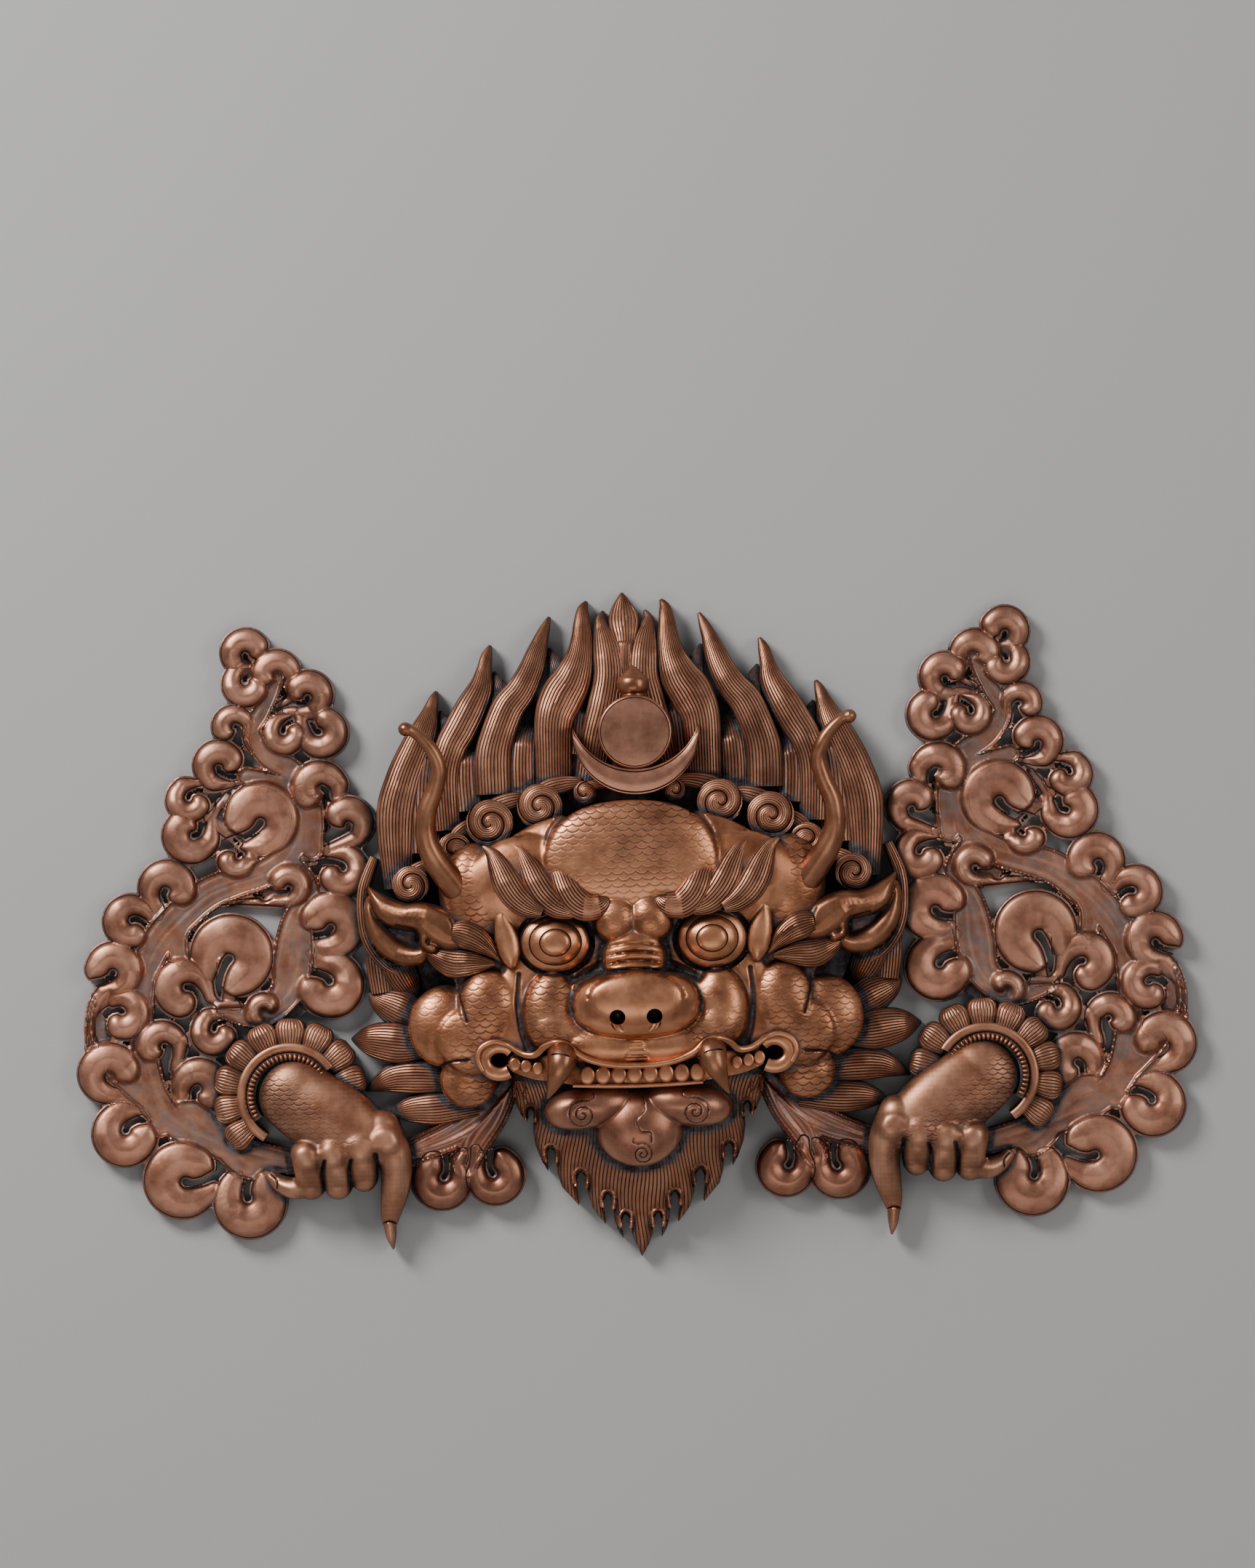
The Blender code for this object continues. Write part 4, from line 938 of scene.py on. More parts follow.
HAIR_METAL = copper("chased hair copper", (0.29, 0.118, 0.064), (0.58, 0.28, 0.17), rub_and_highlight=0.6, dull=0.07)
FACE_METAL = copper("scaled face copper", (0.28, 0.098, 0.044), (0.64, 0.285, 0.15), rub_and_highlight=0.7, scales=0.75,
                    size=0.0078)
PANEL_METAL = copper("panel copper", (0.30, 0.118, 0.068), (0.68, 0.365, 0.25), rub_and_highlight=0.66, dull=0.05)
HAND_METAL = copper("scaled hand copper", (0.30, 0.12, 0.066), (0.62, 0.33, 0.21), rub_and_highlight=0.7, scales=0.8,
                    size=0.0062, dull=0.09)
YELLOW_METAL = copper("yellow copper", (0.20, 0.075, 0.036), (0.44, 0.20, 0.11), rub_and_highlight=0.5)
PLAIN_METAL = copper("plain copper", (0.25, 0.095, 0.058), (0.54, 0.265, 0.17), rub_and_highlight=0.65, patina_and_shading_strength=0.7)


# Pieces

def make_hair():
    """Flame locks, curls of the hair line and mane leaves on a plate that is open behind the face."""
    shells = []
    for points, front in LOCKS:
        tops = (front, front * 0.98, front * 0.82, front * 0.48, 9)
        shells.append(lined(points, 0, tops, 64))
    for points, front in SIDE_LOCKS:
        shells.append(lined(points, 0, (front, front * 0.9, 8), 36))
    for x, z, radius, tail in HAIR_CURLS:
        shells.append(curl_disc(x, z, radius, 49.5 if radius > 8 else 46))
        shells.append(lined(tail, 0, (40, 42.5, 43), 20, lines=6, engrave=0.4))
    for points, front in LEAVES:
        shells.append(lined(points, 0, (front, front, front * 0.8, 10), 34, pitch=1.9))
    shells.append(lined(MANE_BAND, 0, (24, 26, 26, 24), 30, pitch=1.8))
    shells.append(lined(MANE_TUFT, 0, (20, 20, 18), 24, pitch=1.9))
    shells = both_sides(shells)
    shells.append(lined(CENTRE_LOCK, 0, (28, 26, 22, 14, 8), 50))
    shells.append(dome(0, -2, 117, 50, 0, 27, 0.5, sides=64, rings=10))
    shells.append(dome(0, -86, 142, 112, 0, 16, 0.8, sides=96, rings=6))
    plate = dome(0, -84, 149.5, 121.5, 0, PLATE, 0.999, sides=96, rings=1)
    hair = combine(plate, shells)
    hole = dome(0, -98, 98.5, 66.5, -3, 40, 0.999, sides=96, rings=1)
    return combine(hair, [hole], "DIFFERENCE")


def make_panel():
    """Open scrollwork: flat webs, beaded stems and fat curls."""
    relief = Relief(-362, -292, -158, 108, 0.88)
    for web in WEBS:
        relief.stroke(along(web, 60), 9.4, flat_web, dusty=1.0)
    vines = np.vstack([along(points, 14 * len(points)) for points in PANEL_VINES])
    vines[:, 2] *= 1.12
    relief.stroke(vines, 11.0, vine, dusty=0.8)
    for i, (x, z, radius, half, start, end, stem) in enumerate(PANEL_CURLS):
        places, notch = comma(x, z, radius, half, start, end, stem)
        rise = 14.7 + 0.3 * math.sin(i * 2.3)
        tops = np.interp(np.linspace(0, 1, len(places)), (0, 0.5, 0.75, 1), (rise, rise, 12, 7.5))
        part, d = relief.stroke(places, tops, pillow, notch=notch)
        field = relief.marks["border"]
        top = np.abs(relief.inside[part] - d) < 0.01
        field[part] = np.where(top & (d > 0), d, field[part])
    relief.smooth(1)
    return fewer(relief.shell("panel", 0.0), 140000)


def make_face():
    """The mask sheet from the forehead to the upper teeth, hollow behind."""
    relief = Relief(-150, -212, 150.5, -8, 0.86)
    skin = {"scaly": 1.0}
    relief.mound(0, -98, 119, 84, 53, 9, soft=2)
    relief.mound(0, -58, 88, 43, 62, 11, power=2.4, soft=4)
    for side in (-1, 1):
        relief.mound(side * 52, -97, 33, 29, 58, 6, soft=5)
        relief.mound(side * 66, -60, 38, 29.5, 65, 10, soft=5)
        relief.mound(side * 72, -142, 17, 34, 58, 6, soft=5)
        relief.mound(side * 98, -67, 24, 33, 60, 15, side * -8, soft=3, **skin)
        relief.mound(side * 120, -150, 24, 26, 53, 12, soft=3, **skin)
        relief.mound(side * 107, -184, 18, 18, 50, 11, soft=3, **skin)
        relief.mound(side * 92.6, -137, 19.6, 23, 61, 11, soft=2, **skin)
        relief.mound(side * 100, -159, 25, 22, 57.5, 7, soft=8, **skin)
        relief.mound(side * 54, -142, 17, 25.5, 71, 10, side * 6, soft=3, **skin)
        relief.mound(side * 38, -160, 27, 14, 73, 9, side * 22, soft=7, **skin)
        relief.mound(side * 17, -166, 26, 12, 76, 9, side * 3, soft=8)
    relief.mound(0, -47, 54, 37, 73, 10, power=2.3, soft=7, **skin)
    relief.mound(0, -110, 20, 20, 75, 9, soft=5)
    relief.mound(0, -146, 58, 30, 68, 6, soft=6)
    for side in (-1, 1):
        relief.mound(side * 11, -85, 13.5, 15, 75, 9, side * 12, soft=0.5, **skin)
    relief.mound(0.5, -138.6, 39.6, 20.6, 85, 9, power=2.5, soft=2)
    relief.mound(0.5, -134, 30, 16, 88, 6, soft=12)
    relief.smooth(3)
    x, z = relief.x, relief.z
    bridge = np.clip(1.6 - np.abs(x) / 16, 0, 1) * np.clip(2.2 - np.abs(z + 109) / 5, 0, 1)
    fold = np.abs(((z + 100 + 0.008 * x * x) / 5.4) % 1 - 0.5) * 2
    relief.height -= bridge * np.clip(fold - 0.45, 0, 1) * 4.2
    ring = np.hypot((np.abs(x) - 49.5) / 24, (z + 98.5) / 20.6)
    relief.height -= 3.5 * np.clip(1 - np.abs(ring - 0.98) / 0.07, 0, 1)
    dark_ring = np.clip(1.8 - np.abs(ring - 0.99) / 0.05, 0, 1)
    relief.marks["groove"] = np.maximum(relief.marks["groove"], dark_ring)
    relief.marks["scaly"] *= np.clip((ring - 1.05) * 6, 0, 1)
    for side in (-1, 1):
        lid = along([(side * px, pz, w) for px, pz, w in
                     ((-82, -74.6, 1.5), (-82.4, -83, 5), (-80.4, -93, 7.4), (-78.4, -103, 7.2),
                      (-77.6, -110, 4), (-78, -113, 1.5))], 60)
        relief.stroke(lid, 62.5, lid_fold)
        relief.cut(side * 85.2, -171.8, 5.4, 18)
        band = along([(side * px, pz, w) for px, pz, w in
                      ((-75, -174, 6.5), (-64, -177, 7.5), (-48, -178, 9), (-26, -183, 7.6),
                       (0, -184, 7.6))], 80)
        tops = np.interp(np.linspace(0, 1, 80), (0, 0.45, 0.7, 1), (53, 57, 62, 64))
        relief.stroke(band, tops, gum)
        relief.chase([(side * -112, -120), (side * -110, -134), (side * -106.5, -147)], 1.0, 1.2)
        relief.chase([(side * -73, -118), (side * -74.5, -135), (side * -73, -152), (side * -69, -166)],
                     1.6, 1.5)
        relief.chase([(side * -128, -177), (side * -118, -172), (side * -106, -171)], 1.0, 1.6)
    philtrum = (np.abs(x) < 2.5 + 0.4 * np.clip(-160 - z, 0, 12)) & (z > -173) & (z < -159)
    relief.height -= 1.6 * philtrum * np.abs(((z + 160) / 2.1) % 1 - 0.5)
    vault = np.sqrt(np.clip(1 - (x / 97.5) ** 2 - ((z + 98) / 65.5) ** 2, 0, 1)) ** 0.7
    hollow = FACE_BACK + (43.5 - FACE_BACK) * vault
    hollow = np.minimum(hollow, np.maximum(relief.height - 6, FACE_BACK))
    core = fewer(relief.shell("face", hollow, sparse_back=False), 120000)
    nostrils = []
    for side in (-1, 1):
        nostrils.append(tube(((side * 11.4, -145.6, 70, 4.8), (side * 11.8, -146.4, 96, 5.2)), 8))
        nostrils.append(tube(((side * 13.4, -149, 82, 3.0), (side * 11.4, -153, 82.6, 2.7),
                              (side * 7.6, -156, 83, 1.8)), 12))
    combine(core, nostrils, "DIFFERENCE")
    crisp = [eye()]
    rim = ((-97.5, -178, 1.4), (-100.4, -171, 1.8), (-98, -163.6, 1.8), (-90, -160, 1.8), (-82, -162, 1.8),
           (-72, -168, 2), (-64, -168.6, 2), (-58, -163.6, 2), (-50, -161, 2), (-42.6, -163.4, 2),
           (-36, -169.4, 2), (-25, -174.2, 2), (-12, -176.6, 2), (0, -177, 2))
    tops = np.interp(np.linspace(0, 1, 90), (0, 0.3, 0.45, 0.6, 0.75, 1), (61, 62, 68, 76, 78, 78))
    crisp.append(strip(along(rim, 90), 30, tops, plain_section(), 0.8))
    ring = [(-86.6 + 9.8 * math.cos(a), -171.8 + 8.8 * math.sin(a), 4.2) for a in np.linspace(0.7, 5.3, 16)]
    crisp.append(strip(along(ring, 44), 20, 60, plain_section(), 0.5))
    for i, px in enumerate((-77, -70, -62.6)):
        crisp.append(tooth(px, -174.6 - 1.4 * i, 3.6, 4.4, 61 + i))
    crisp.append(strip(along(((-41, -188.8, 1.2), (-20, -189.6, 1.5), (0, -190, 1.5)), 20), 40, 67,
                       plain_section(), 0.8))
    crisp = both_sides(crisp)
    for i in range(8):
        px = 3 + 9.9 * (i - 3.5)
        crisp.append(tooth(px, -182.4, 4.98, 5.8, 72 - 0.0016 * px * px))
    return combine(core, crisp)


def eye():
    """Bulging eyeball with two chased rings."""
    profile = ((22.6, 44, 0.9), (22.6, 57.6, 0.9), (22.2, 59, 0.9), (21.4, 60.4, 0.7), (20.6, 61.2, 0),
               (19, 62.2, 0), (16.9, 62.9, 0), (16.3, 62.3, 1), (15.7, 63.4, 0), (13.6, 64.8, 0),
               (11, 66.0, 0), (10.3, 66.3, 0), (9.7, 65.6, 1), (9.1, 66.6, 0), (7, 67.4, 0), (4, 67.9, 0),
               (1.5, 68.1, 0))
    return lathe("eye", -49.4, -98.5, profile, 80, 0.87)


def tooth(x, z, half, tall, front):
    """One squarish tooth with rounded corners."""
    return dome(x, z, half, tall, 40, front, 0.955, sides=32, rings=5, power=5.0)


def make_brow():
    """Three chased tufts and the curled head that they run into."""
    shells = []
    for i, points in enumerate(BROW):
        front = (60, 65, 70, 72, 72) if i < 2 else (62, 67, 73, 75, 75)
        shells.append(lined(points, 48, front, 56, lines=10, round_off=0.6, engrave=0.7))
    shells.append(lined(((-31, -76.6, 8.6), (-24, -77, 8), (-19.6, -75.6, 6.8), (-17, -73.4, 5),
                         (-15.6, -71.4, 2)),
                        48, (75, 75, 72), 24, lines=9, round_off=0.6, engrave=0.7))
    shells.append(strip(along(((-80, -68, 4), (-58, -74, 4), (-38, -78, 4), (-26, -79, 3)), 30), 48, 62,
                        plain_section()))
    return combine(shells[0], shells[1:])


def make_ear():
    """A pointed ear with its rim and two chased leaves at its root."""
    relief = Relief(-172, -116, -98, -56, 0.68)
    relief.mound(-147, -93, 19, 17, 39, 5)
    rim = ((-166, -64, 1.2), (-166.4, -76, 4), (-162.4, -88, 6), (-155.6, -97.6, 7.2), (-146.4, -103.4, 7),
           (-137, -104.6, 6), (-130, -101, 4.4))
    tops = np.interp(np.linspace(0, 1, 80), (0, 0.6, 1), (42, 46, 52))
    relief.stroke(along(rim, 80), tops, broad, 14)
    upper = ((-166.4, -61, 0.8), (-161.6, -68.4, 4.4), (-154, -76.4, 8), (-144, -79.6, 8.2),
             (-133, -80.4, 9.4), (-123, -86.4, 11.6), (-116, -92, 10), (-110, -95, 7))
    tops = np.interp(np.linspace(0, 1, 90), (0, 0.6, 1), (46, 58, 58))
    relief.stroke(along(upper, 90), tops, broad, 14)
    inner = ((-141, -85, 1.6), (-135.6, -86, 3), (-132.6, -91, 3.6), (-131.6, -98, 3.8), (-127, -100, 5))
    relief.stroke(along(inner, 50), 56, plain, 14)
    relief.chase([(-150, -84.6), (-141, -86.8), (-137.4, -90), (-136.6, -96)], 0.7, 1.2)
    relief.chase([(-115.4, -81.6), (-113.4, -87), (-112.2, -94.6)], 0.6, 1.2)
    relief.smooth(2)
    ear = relief.shell("ear", 14.0)
    leaves = [
        lined(((-114, -90, 6), (-107, -91.4, 9), (-98.6, -95.4, 8.2), (-91, -101.6, 5), (-84.6, -109, 0.7)),
              30, (59, 61, 60, 57), 36, pitch=1.8, engrave=0.4),
        lined(((-131.6, -100.8, 0.8), (-125, -105.4, 6), (-114, -109.8, 9.4), (-101, -110, 7.4),
               (-88, -110.8, 1.4)),
              24, (49, 54, 57, 57), 36, pitch=1.8, engrave=0.4),
    ]
    return combine(leaves[0], [leaves[1], ear])


def make_horn():
    """A round horn with a ball tip and drops of solder at its root."""
    shaft = tube(HORN, 56, 24)
    tip = tube(((-138.6, 38.4, 72, 4.3), (-139.6, 38.6, 72, 4.5)), 6, 24)
    solder = [dome(x, z, r, r * 0.8, 44, d, 0.7, 20, 20, 6)
              for x, z, r, d in ((-105, -62, 7, 57.6), (-101, -56, 4.6, 58.4), (-112, -68, 5.5, 55))]
    return combine(shaft, [tip] + solder)


def make_jaw():
    """Lower lip and chin with chased spirals."""
    relief = Relief(-64, -246, 64.5, -186, 0.68)
    for side in (-1, 1):
        relief.mound(side * 30.5, -203, 29, 13.8, 65, 16, side * -8, power=2.2)
    relief.mound(0, -217, 27.4, 24.6, 64, 16)
    relief.smooth(2)
    for side in (-1, 1):
        relief.chase(spiral_line(side * 35.6, -207.5, 9.6, side), 0.45, 0.7, 150)
    relief.chase(spiral_line(1.5, -233.4, 7, 1), 0.45, 0.6, 130)
    relief.chase([(2.4, -196), (4, -205), (-1.6, -212), (1, -219), (7, -220), (7.6, -226)], 0.45, 0.6, 60)
    return relief.shell("jaw", 12.0)


def spiral_line(x, z, radius, side):
    """A line that swings in from above and winds to the centre."""
    line = [(x - side * radius * 0.75, z + radius * 1.45), (x - side * radius * 0.8, z + radius * 1.1)]
    for i in range(40):
        t = i / 39
        a = math.pi * 0.62 - 2 * math.pi * 2.1 * t
        r = radius * (1 - 0.93 * t)
        line.append((x + side * r * math.cos(a), z + r * math.sin(a)))
    return line


def beard_front(z):
    """How far the beard stands out at a height, on its middle line."""
    return np.interp(z, BEARD_LEVELS, BEARD_FRONTS)


def make_beard():
    """One sheet with flame points, combed lines and a rim around each notch."""
    relief = Relief(-84, -304, 84.5, -168, 0.7)
    x, z = relief.x, relief.z
    left = np.array(BEARD_EDGE, float)
    edge = np.vstack([left, left[-2:0:-1] * (-1, 1)])
    odd = np.zeros(x.shape, bool)
    away = np.full(x.shape, 99.0)
    for (ax, az), (bx, bz) in zip(edge, np.roll(edge, -1, 0)):
        run = max((bx - ax) ** 2 + (bz - az) ** 2, 1e-9)
        t = np.clip(((x - ax) * (bx - ax) + (z - az) * (bz - az)) / run, 0, 1)
        away = np.minimum(away, np.hypot(x - ax - t * (bx - ax), z - az - t * (bz - az)))
        if az != bz:
            odd ^= ((az > z) != (bz > z)) & (x < (bx - ax) * (z - az) / (bz - az) + ax)
    d = np.where(odd, away, -away)
    base = beard_front(z) - 0.0012 * x * x * np.clip((z + 300) / 80, 0, 1)
    height = base - 4.5 * np.exp(-np.maximum(d, 0) / 2.2)
    fan = x * (1 - 0.0022 * np.clip(-z - 200, 0, 100)) + 1.1 * np.sin(z / 9 + x / 14)
    fan = fan - 0.10 * x * np.clip((z + 215) / 30, 0, 2)
    relief.lay((slice(None), slice(None)), d, height, comb=1.0, phase=fan / 2.05)
    for side in (-1, 1):
        for hx, hz, r in BEARD_HOOKS:
            hook = []
            for a in np.linspace(-0.6, math.pi + 0.5, 26):
                rise = 1.2 * math.sin(a) if 0 < a < math.pi else -3 * abs(math.sin(a))
                hook.append((side * (hx + r * math.cos(a)), hz + r * rise, 1.2))
            level = float(beard_front(hz)) - 0.0012 * hx * hx
            relief.stroke(along(hook, 40), level + 1.6, hook_rim)
    return relief.shell("beard", 0.0)


def make_vine():
    """Two stems from the mouth corner, each with a fat curl."""
    relief = Relief(-152, -268, -66, -164, 0.8)
    stems = np.vstack([along(points, 80) for points in VINE])
    tops = np.interp(np.linspace(0, 1, 80), (0, 0.5, 1), (31, 23, 17))
    relief.stroke(stems, np.tile(tops, len(VINE)), vine, dusty=0.5)
    for x, z, radius, half, start, end, stem in VINE_CURLS:
        places, notch = comma(x, z, radius, half, start, end, stem)
        part, d = relief.stroke(places, 17.6, pillow, notch=notch)
        relief.marks["border"][part] = np.where(d > 0, d, relief.marks["border"][part])
    relief.smooth(1)
    return relief.shell("vine", 0.0)


def make_fang():
    """A large curved tooth with a line cut around its root."""
    points = ((-46.6, -167, 66, 9.2), (-47, -171, 75, 9.6), (-49.4, -179, 78, 7.6), (-53, -187, 76.6, 4.4),
              (-56.8, -195.4, 73, 1.0))
    band = [(-56.4, -170.4, 76, 0.7), (-51.6, -168, 83, 0.7), (-45, -168.6, 84.4, 0.7),
            (-38.4, -173, 79, 0.7)]
    return combine(tube(points, 30, 28), [tube(band, 20, 8, 1.0)], "DIFFERENCE")


def make_cuff():
    """Petals around a plain rim, and a row of beads inside it."""
    x, z = CUFF_CENTRE
    shells = []
    for radius, half, start, end, count, front, round_off in ((30.6, 3.0, 33, 238, 50, 25.6, 0.5),
                                                              (24.6, 2.9, 30, 215, 40, 24.4, 0.3)):
        turn = np.radians(np.linspace(start, end, count))
        arc = np.column_stack([x + radius * np.cos(turn), z + radius * np.sin(turn), np.full(count, half)])
        shells.append(strip(arc, 4, front, plain_section(), round_off))
    for i in range(BEADS):
        a = math.radians(34 + (208 - 34) * i / (BEADS - 1))
        bx, bz = x + 24.8 * math.cos(a), z + 24.8 * math.sin(a)
        shells.append(dome(bx, bz, 2.5, 1.35, 20, 29.6, 0.72, math.degrees(a), sides=12, rings=4))
    for i in range(PETALS):
        a = math.radians(12 + 25.5 * i)
        places = []
        for r, w in ((31, 6.6), (36, 8.2), (41, 9.4), (44.6, 9.2), (47.2, 7.4), (48.8, 4.6)):
            places.append((x + r * math.cos(a), z + r * math.sin(a), w))
        shells.append(lined(places, 4, (23, 24, 23.4, 21.6, 19), 24, lines=9, round_off=0.5, engrave=0.4))
    return combine(shells[0], shells[1:])


def make_hand():
    """A clawed hand with scaled back, knuckles and two nails."""
    relief = Relief(-244, -294, -142, -164, 0.74)
    back = along(HAND_BACK, 60)
    relief.stroke(back[:, :3], back[:, 3], plain, 4, scaly=1.0)
    for finger in FINGERS:
        places = along(finger, 50)
        relief.stroke(places[:, :3], places[:, 3], finger_shape, 4)
    for x, z in ((-211, -230), (-195, -228.5), (-177.4, -225.6), (-161, -221)):
        relief.mound(x, z, 8.4, 7.6, 38.2, 3.0, soft=10)
    relief.smooth(9)
    for nail in NAILS:
        places = along(nail, 30)
        relief.stroke(places[:, :3], places[:, 3], plain, 4)
    for x in (-201.4, -184.6):
        relief.chase([(x + 1.6, -233), (x, -242), (x + 0.6, -253)], 1.0, 3.4)
    relief.chase([(-167.6, -230), (-166.4, -240), (-166.6, -250)], 1.2, 4)
    relief.chase([(-164.4, -274.4), (-160.4, -273.2), (-156.4, -274.6)], 0.6, 1.4)
    relief.chase([(-231, -250), (-231, -245), (-234.6, -241)], 0.6, 1.2)
    x, z = relief.x, relief.z
    side = np.clip((-(x + 200) * 0.62 - (z + 205) * 0.78 + 12) / 14, 0, 1)
    relief.marks["scaly"] *= side
    return relief.shell("hand", 4.0)


def make_crescent():
    """Upturned moon: an outer circle and a higher inner one, with a chased line inside its edge."""
    outer, inner, top = 40.0, 42.5, 18.8
    section = ((0, 24), (0, 55.4), (0.012, 56.8), (0.035, 57.4), (0.07, 57.5), (0.105, 56.8), (0.14, 57.6),
               (0.35, 58.3), (0.5, 58.5), (0.65, 58.3), (0.86, 57.6), (0.895, 56.8), (0.93, 57.5),
               (0.965, 57.4), (0.988, 56.8), (1, 55.4), (1, 24))
    count = 90
    rows = []
    for i in range(count):
        a = math.radians(-90 - 84.5 + 169 * i / (count - 1))
        x, z = outer * math.cos(a), outer * math.sin(a)
        upper = max(z + 0.9, top - math.sqrt(max(0.0, inner ** 2 - x ** 2)))
        rows.append(np.array([(x + 5, depth, z + (upper - z) * s + 33) for s, depth in section]))
    marks = np.tile([0, 0.3, 0, 0, 0, 1, 0, 0, 0, 0, 0, 1, 0, 0, 0, 0.3, 0], count)
    return new_shell("crescent", np.vstack(rows), ring_faces(count, len(section)), marks)


def lathe(name, x, z, profile, sides, squash=1.0):
    """A turned form that faces the viewer: profile of (radius, depth, mark)."""
    a = np.linspace(0, 2 * np.pi, sides, endpoint=False)
    points, marks = [], []
    for r, depth, g in profile:
        high = z + r * squash * np.sin(a)
        points.append(np.column_stack([x + r * np.cos(a), np.full(sides, depth), high]))
        marks.append(np.full(sides, g))
    return new_shell(name, np.vstack(points), ring_faces(len(profile), sides), np.concatenate(marks))


def make_disc():
    """Sun disc with a chased line inside its edge."""
    profile = ((23.4, 22, 0.4), (23.4, 51.4, 0.3), (23.1, 52.6, 0), (22.4, 53.2, 0), (21.9, 53.2, 0),
               (21.6, 52.7, 1), (21.3, 53.2, 0), (18, 53.6, 0), (12, 53.9, 0), (6, 54, 0), (1, 54, 0))
    return lathe("disc", 4.6, 32.8, profile, 120)


def make_jewel():
    """Flaming jewel: a turned bulb with a pointed cap above a narrow band."""
    profile = ((3.0, 53), (6.8, 54), (7.4, 55.6), (7.0, 57), (9.0, 58), (10.1, 60), (10.3, 63),
               (10.1, 65.6), (9.2, 67.4), (7.8, 68.2), (7.2, 69), (5.4, 71), (3.2, 73), (1.6, 74.2),
               (0.5, 75))
    sides = 40
    points = []
    a = np.linspace(0, 2 * np.pi, sides, endpoint=False)
    for r, z in profile:
        points.append(np.column_stack([4.4 + r * np.cos(a), 42.5 + 0.9 * r * np.sin(a), np.full(sides, z)]))
    return new_shell("jewel", np.vstack(points), ring_faces(len(profile), sides))


# Cavity: how deep each point lies against what stands around it; it drives patina and painted shade in the
# hollows and a painted highlight on the highs

def blur(field, radius):
    """Smooth a field with two box passes along each axis."""
    size = 2 * radius + 1
    for _ in range(2):
        for axis in (0, 1):
            pad = [(0, 0), (0, 0)]
            pad[axis] = (radius + 1, radius)
            total = np.cumsum(np.pad(field, pad, mode="edge"), axis=axis)
            upper = np.take(total, range(size, total.shape[axis]), axis=axis)
            lower = np.take(total, range(0, total.shape[axis] - size), axis=axis)
            field = (upper - lower) / size
    return field


def mark_cavities():
    """Write on every piece how far each point lies below the mean of its surroundings."""
    x0, z0, cell = -372.0, -315.0, 1.0
    nx, nz = 745, 455
    height = np.zeros((nx, nz))
    places = []
    for shell in FINISHED:
        proud = shell.name.startswith(PROUD)
        count = len(shell.data.vertices)
        co = np.empty(count * 3, np.float32)
        shell.data.vertices.foreach_get("co", co)
        co = co.reshape(-1, 3).astype(float) / MM
        i = np.clip(((co[:, 0] - x0) / cell).astype(int), 0, nx - 1)
        k = np.clip(((co[:, 2] - z0) / cell).astype(int), 0, nz - 1)
        if not proud:
            np.maximum.at(height, (i, k), -co[:, 1])
        places.append((shell, co, i, k, proud))
    for _ in range(3):
        grown = height.copy()
        for dx, dz in ((1, 0), (-1, 0), (0, 1), (0, -1)):
            grown = np.maximum(grown, np.roll(height, (dx, dz), (0, 1)))
        empty = height <= 0
        near = (np.roll(height, 1, 0) + np.roll(height, -1, 0)
                + np.roll(height, 1, 1) + np.roll(height, -1, 1))
        height = np.where(empty & (near > 0), grown, height)
    solid = (height > 0).astype(float)
    wide_sum, wide_part = blur(height, 7), blur(solid, 7)
    tight_sum, tight_part = blur(height, 3), blur(solid, 3)
    wide = wide_sum / np.maximum(wide_part, 0.2)
    tight = tight_sum / np.maximum(tight_part, 0.2)
    for shell, co, i, k, proud in places:
        depth = -co[:, 1]
        # Positive values darken to patina and painted shade, negative ones brighten to rubbed metal and
        # painted highlight; proud pieces get no painted shade.
        value = np.clip(0.4 * (wide[i, k] - depth) / 9.0, -0.4, 0.2) + 0.7 * (tight[i, k] - depth) / 4.0
        value = np.clip(value, -1, 0 if proud else 1)
        mark = shell.data.attributes.get("cavity") or shell.data.attributes.new("cavity", "FLOAT", "POINT")
        mark.data.foreach_set("value", value.astype(np.float32))


# Stage

def make_stage():
    """A pale wall with a cove and a floor, seen through from behind."""
    bpy.ops.object.select_all(action="DESELECT")
    wide, wall_top, floor, cove = 4.0, 3.0, -1.3, 0.5
    profile = [(0.0012, wall_top), (0.0012, floor + cove)]
    for i in range(1, 13):
        a = math.pi / 2 * i / 12
        profile.append((0.0012 - cove * (1 - math.cos(a)), floor + cove * (1 - math.sin(a))))
    profile.append((-5.0, floor))
    points = [(x, y, z) for y, z in profile for x in (-wide, wide)]
    faces = [(2 * i, 2 * i + 1, 2 * i + 3, 2 * i + 2) for i in range(len(profile) - 1)]
    mesh = bpy.data.meshes.new("backdrop")
    mesh.from_pydata(points, [], faces)
    backdrop = bpy.data.objects.new("backdrop", mesh)
    bpy.context.scene.collection.objects.link(backdrop)
    for polygon in mesh.polygons:
        polygon.use_smooth = True
    if mesh.polygons[0].normal.y > 0:
        mesh.flip_normals()
    paint = bpy.data.materials.new("grey wall")
    paint.use_nodes = True
    tree = paint.node_tree
    shader = tree.nodes["Principled BSDF"]
    shader.inputs["Base Color"].default_value = (0.365, 0.357, 0.352, 1)
    shader.inputs["Roughness"].default_value = 0.9
    clear = tree.nodes.new("ShaderNodeBsdfTransparent")
    either = tree.nodes.new("ShaderNodeMixShader")
    link(tree, tree.nodes.new("ShaderNodeNewGeometry").outputs["Backfacing"], either.inputs[0])
    link(tree, shader.outputs[0], either.inputs[1])
    link(tree, clear.outputs[0], either.inputs[2])
    link(tree, either.outputs[0], tree.nodes["Material Output"].inputs["Surface"])
    mesh.materials.append(paint)


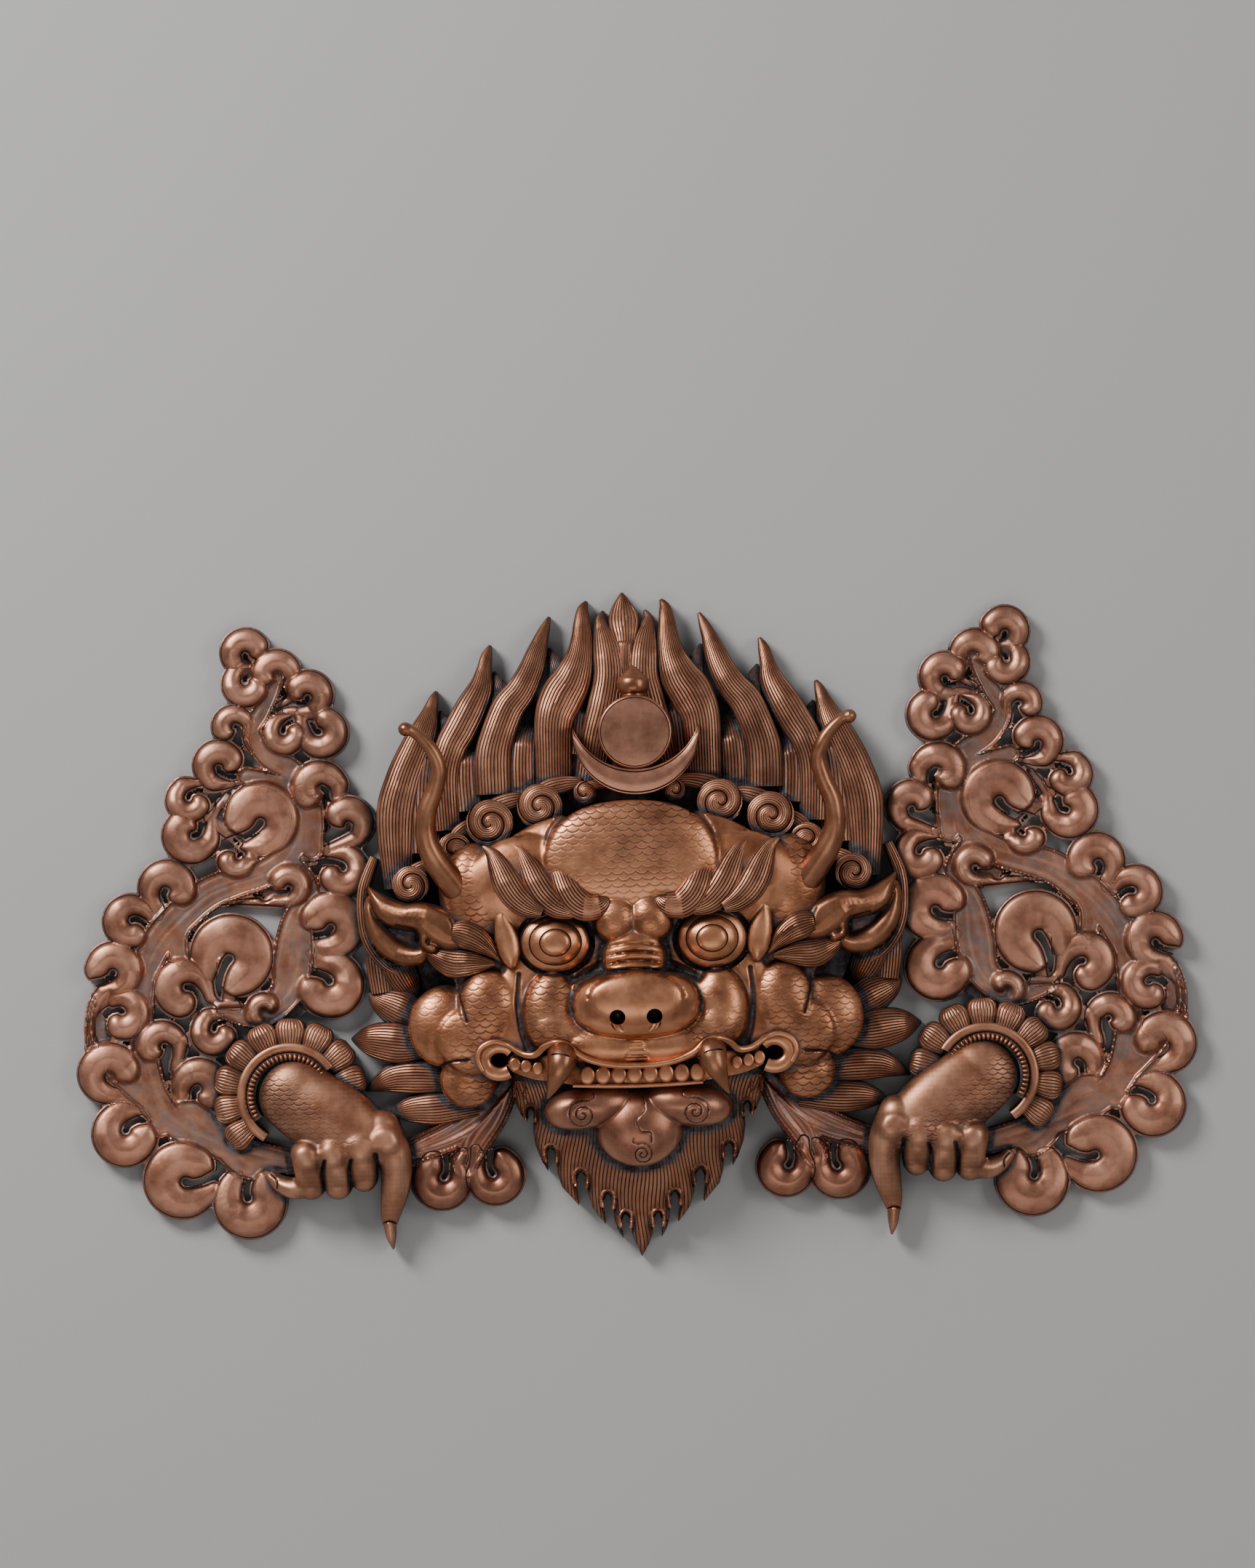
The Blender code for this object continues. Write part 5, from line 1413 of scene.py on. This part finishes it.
def area_light(name, place, target, size, power):
    """A soft rectangular lamp aimed at a place."""
    lamp = bpy.data.lights.new(name, "AREA")
    lamp.shape = "RECTANGLE"
    lamp.size, lamp.size_y = size
    lamp.energy = power
    holder = bpy.data.objects.new(name, lamp)
    bpy.context.scene.collection.objects.link(holder)
    holder.location = place
    aim = Vector(target) - Vector(place)
    holder.rotation_euler = aim.to_track_quat("-Z", "Y").to_euler()


def make_light():
    """A key from the upper left, two weak fills and a dim room."""
    area_light("key", (-1.5, -1.6, 1.5), (0, 0, -0.1), (0.9, 0.9), 82)
    area_light("fill", (1.9, -2.0, 0.4), (0, 0, -0.1), (0.9, 1.4), 18)
    area_light("low", (-0.2, -2.2, -1.0), (0, 0, -0.1), (1.8, 0.6), 7)
    world = bpy.data.worlds.new("studio")
    bpy.context.scene.world = world
    world.use_nodes = True
    world.node_tree.nodes["Background"].inputs["Color"].default_value = (0.8, 0.8, 0.82, 1)
    world.node_tree.nodes["Background"].inputs["Strength"].default_value = 0.36


def make_camera():
    """A long lens square to the wall, rolled as the photograph is."""
    lens = bpy.data.cameras.new("camera")
    lens.sensor_width = SENSOR
    lens.lens = SENSOR * CAMERA_DISTANCE / FRAME_HEIGHT
    camera = bpy.data.objects.new("camera", lens)
    bpy.context.scene.collection.objects.link(camera)
    camera.location = (-0.001, -CAMERA_DISTANCE, 0.0)
    camera.rotation_euler = (math.pi / 2, math.radians(CAMERA_ROLL), 0)
    bpy.context.scene.camera = camera


make_camera()
make_stage()
make_light()
finish_piece(make_hair(), "hair_relief", ["hair_and_mane"], HAIR_METAL)
finish_pair(make_panel(), "scroll_panel", PANEL_METAL)
finish_piece(make_face(), "face_relief", ["face"], FACE_METAL, 50)
finish_pair(make_brow(), "brow", HAIR_METAL)
finish_pair(make_ear(), "ear", YELLOW_METAL)
finish_pair(make_horn(), "horn", YELLOW_METAL)
finish_pair(make_fang(), "fang", YELLOW_METAL)
finish_piece(make_jaw(), "jaw_relief", ["jaw"], PLAIN_METAL)
finish_piece(make_beard(), "beard_relief", ["beard"], HAIR_METAL)
finish_pair(make_vine(), "mouth_vine", PLAIN_METAL)
finish_pair(make_cuff(), "lotus_cuff", HAIR_METAL)
finish_pair(make_hand(), "hand", HAND_METAL)
finish_piece(make_crescent(), "crescent_relief", ["crescent_moon"], PLAIN_METAL)
finish_piece(make_disc(), "disc_relief", ["sun_disc"], PLAIN_METAL)
finish_piece(make_jewel(), "jewel_relief", ["jewel_finial"], YELLOW_METAL)
mark_cavities()
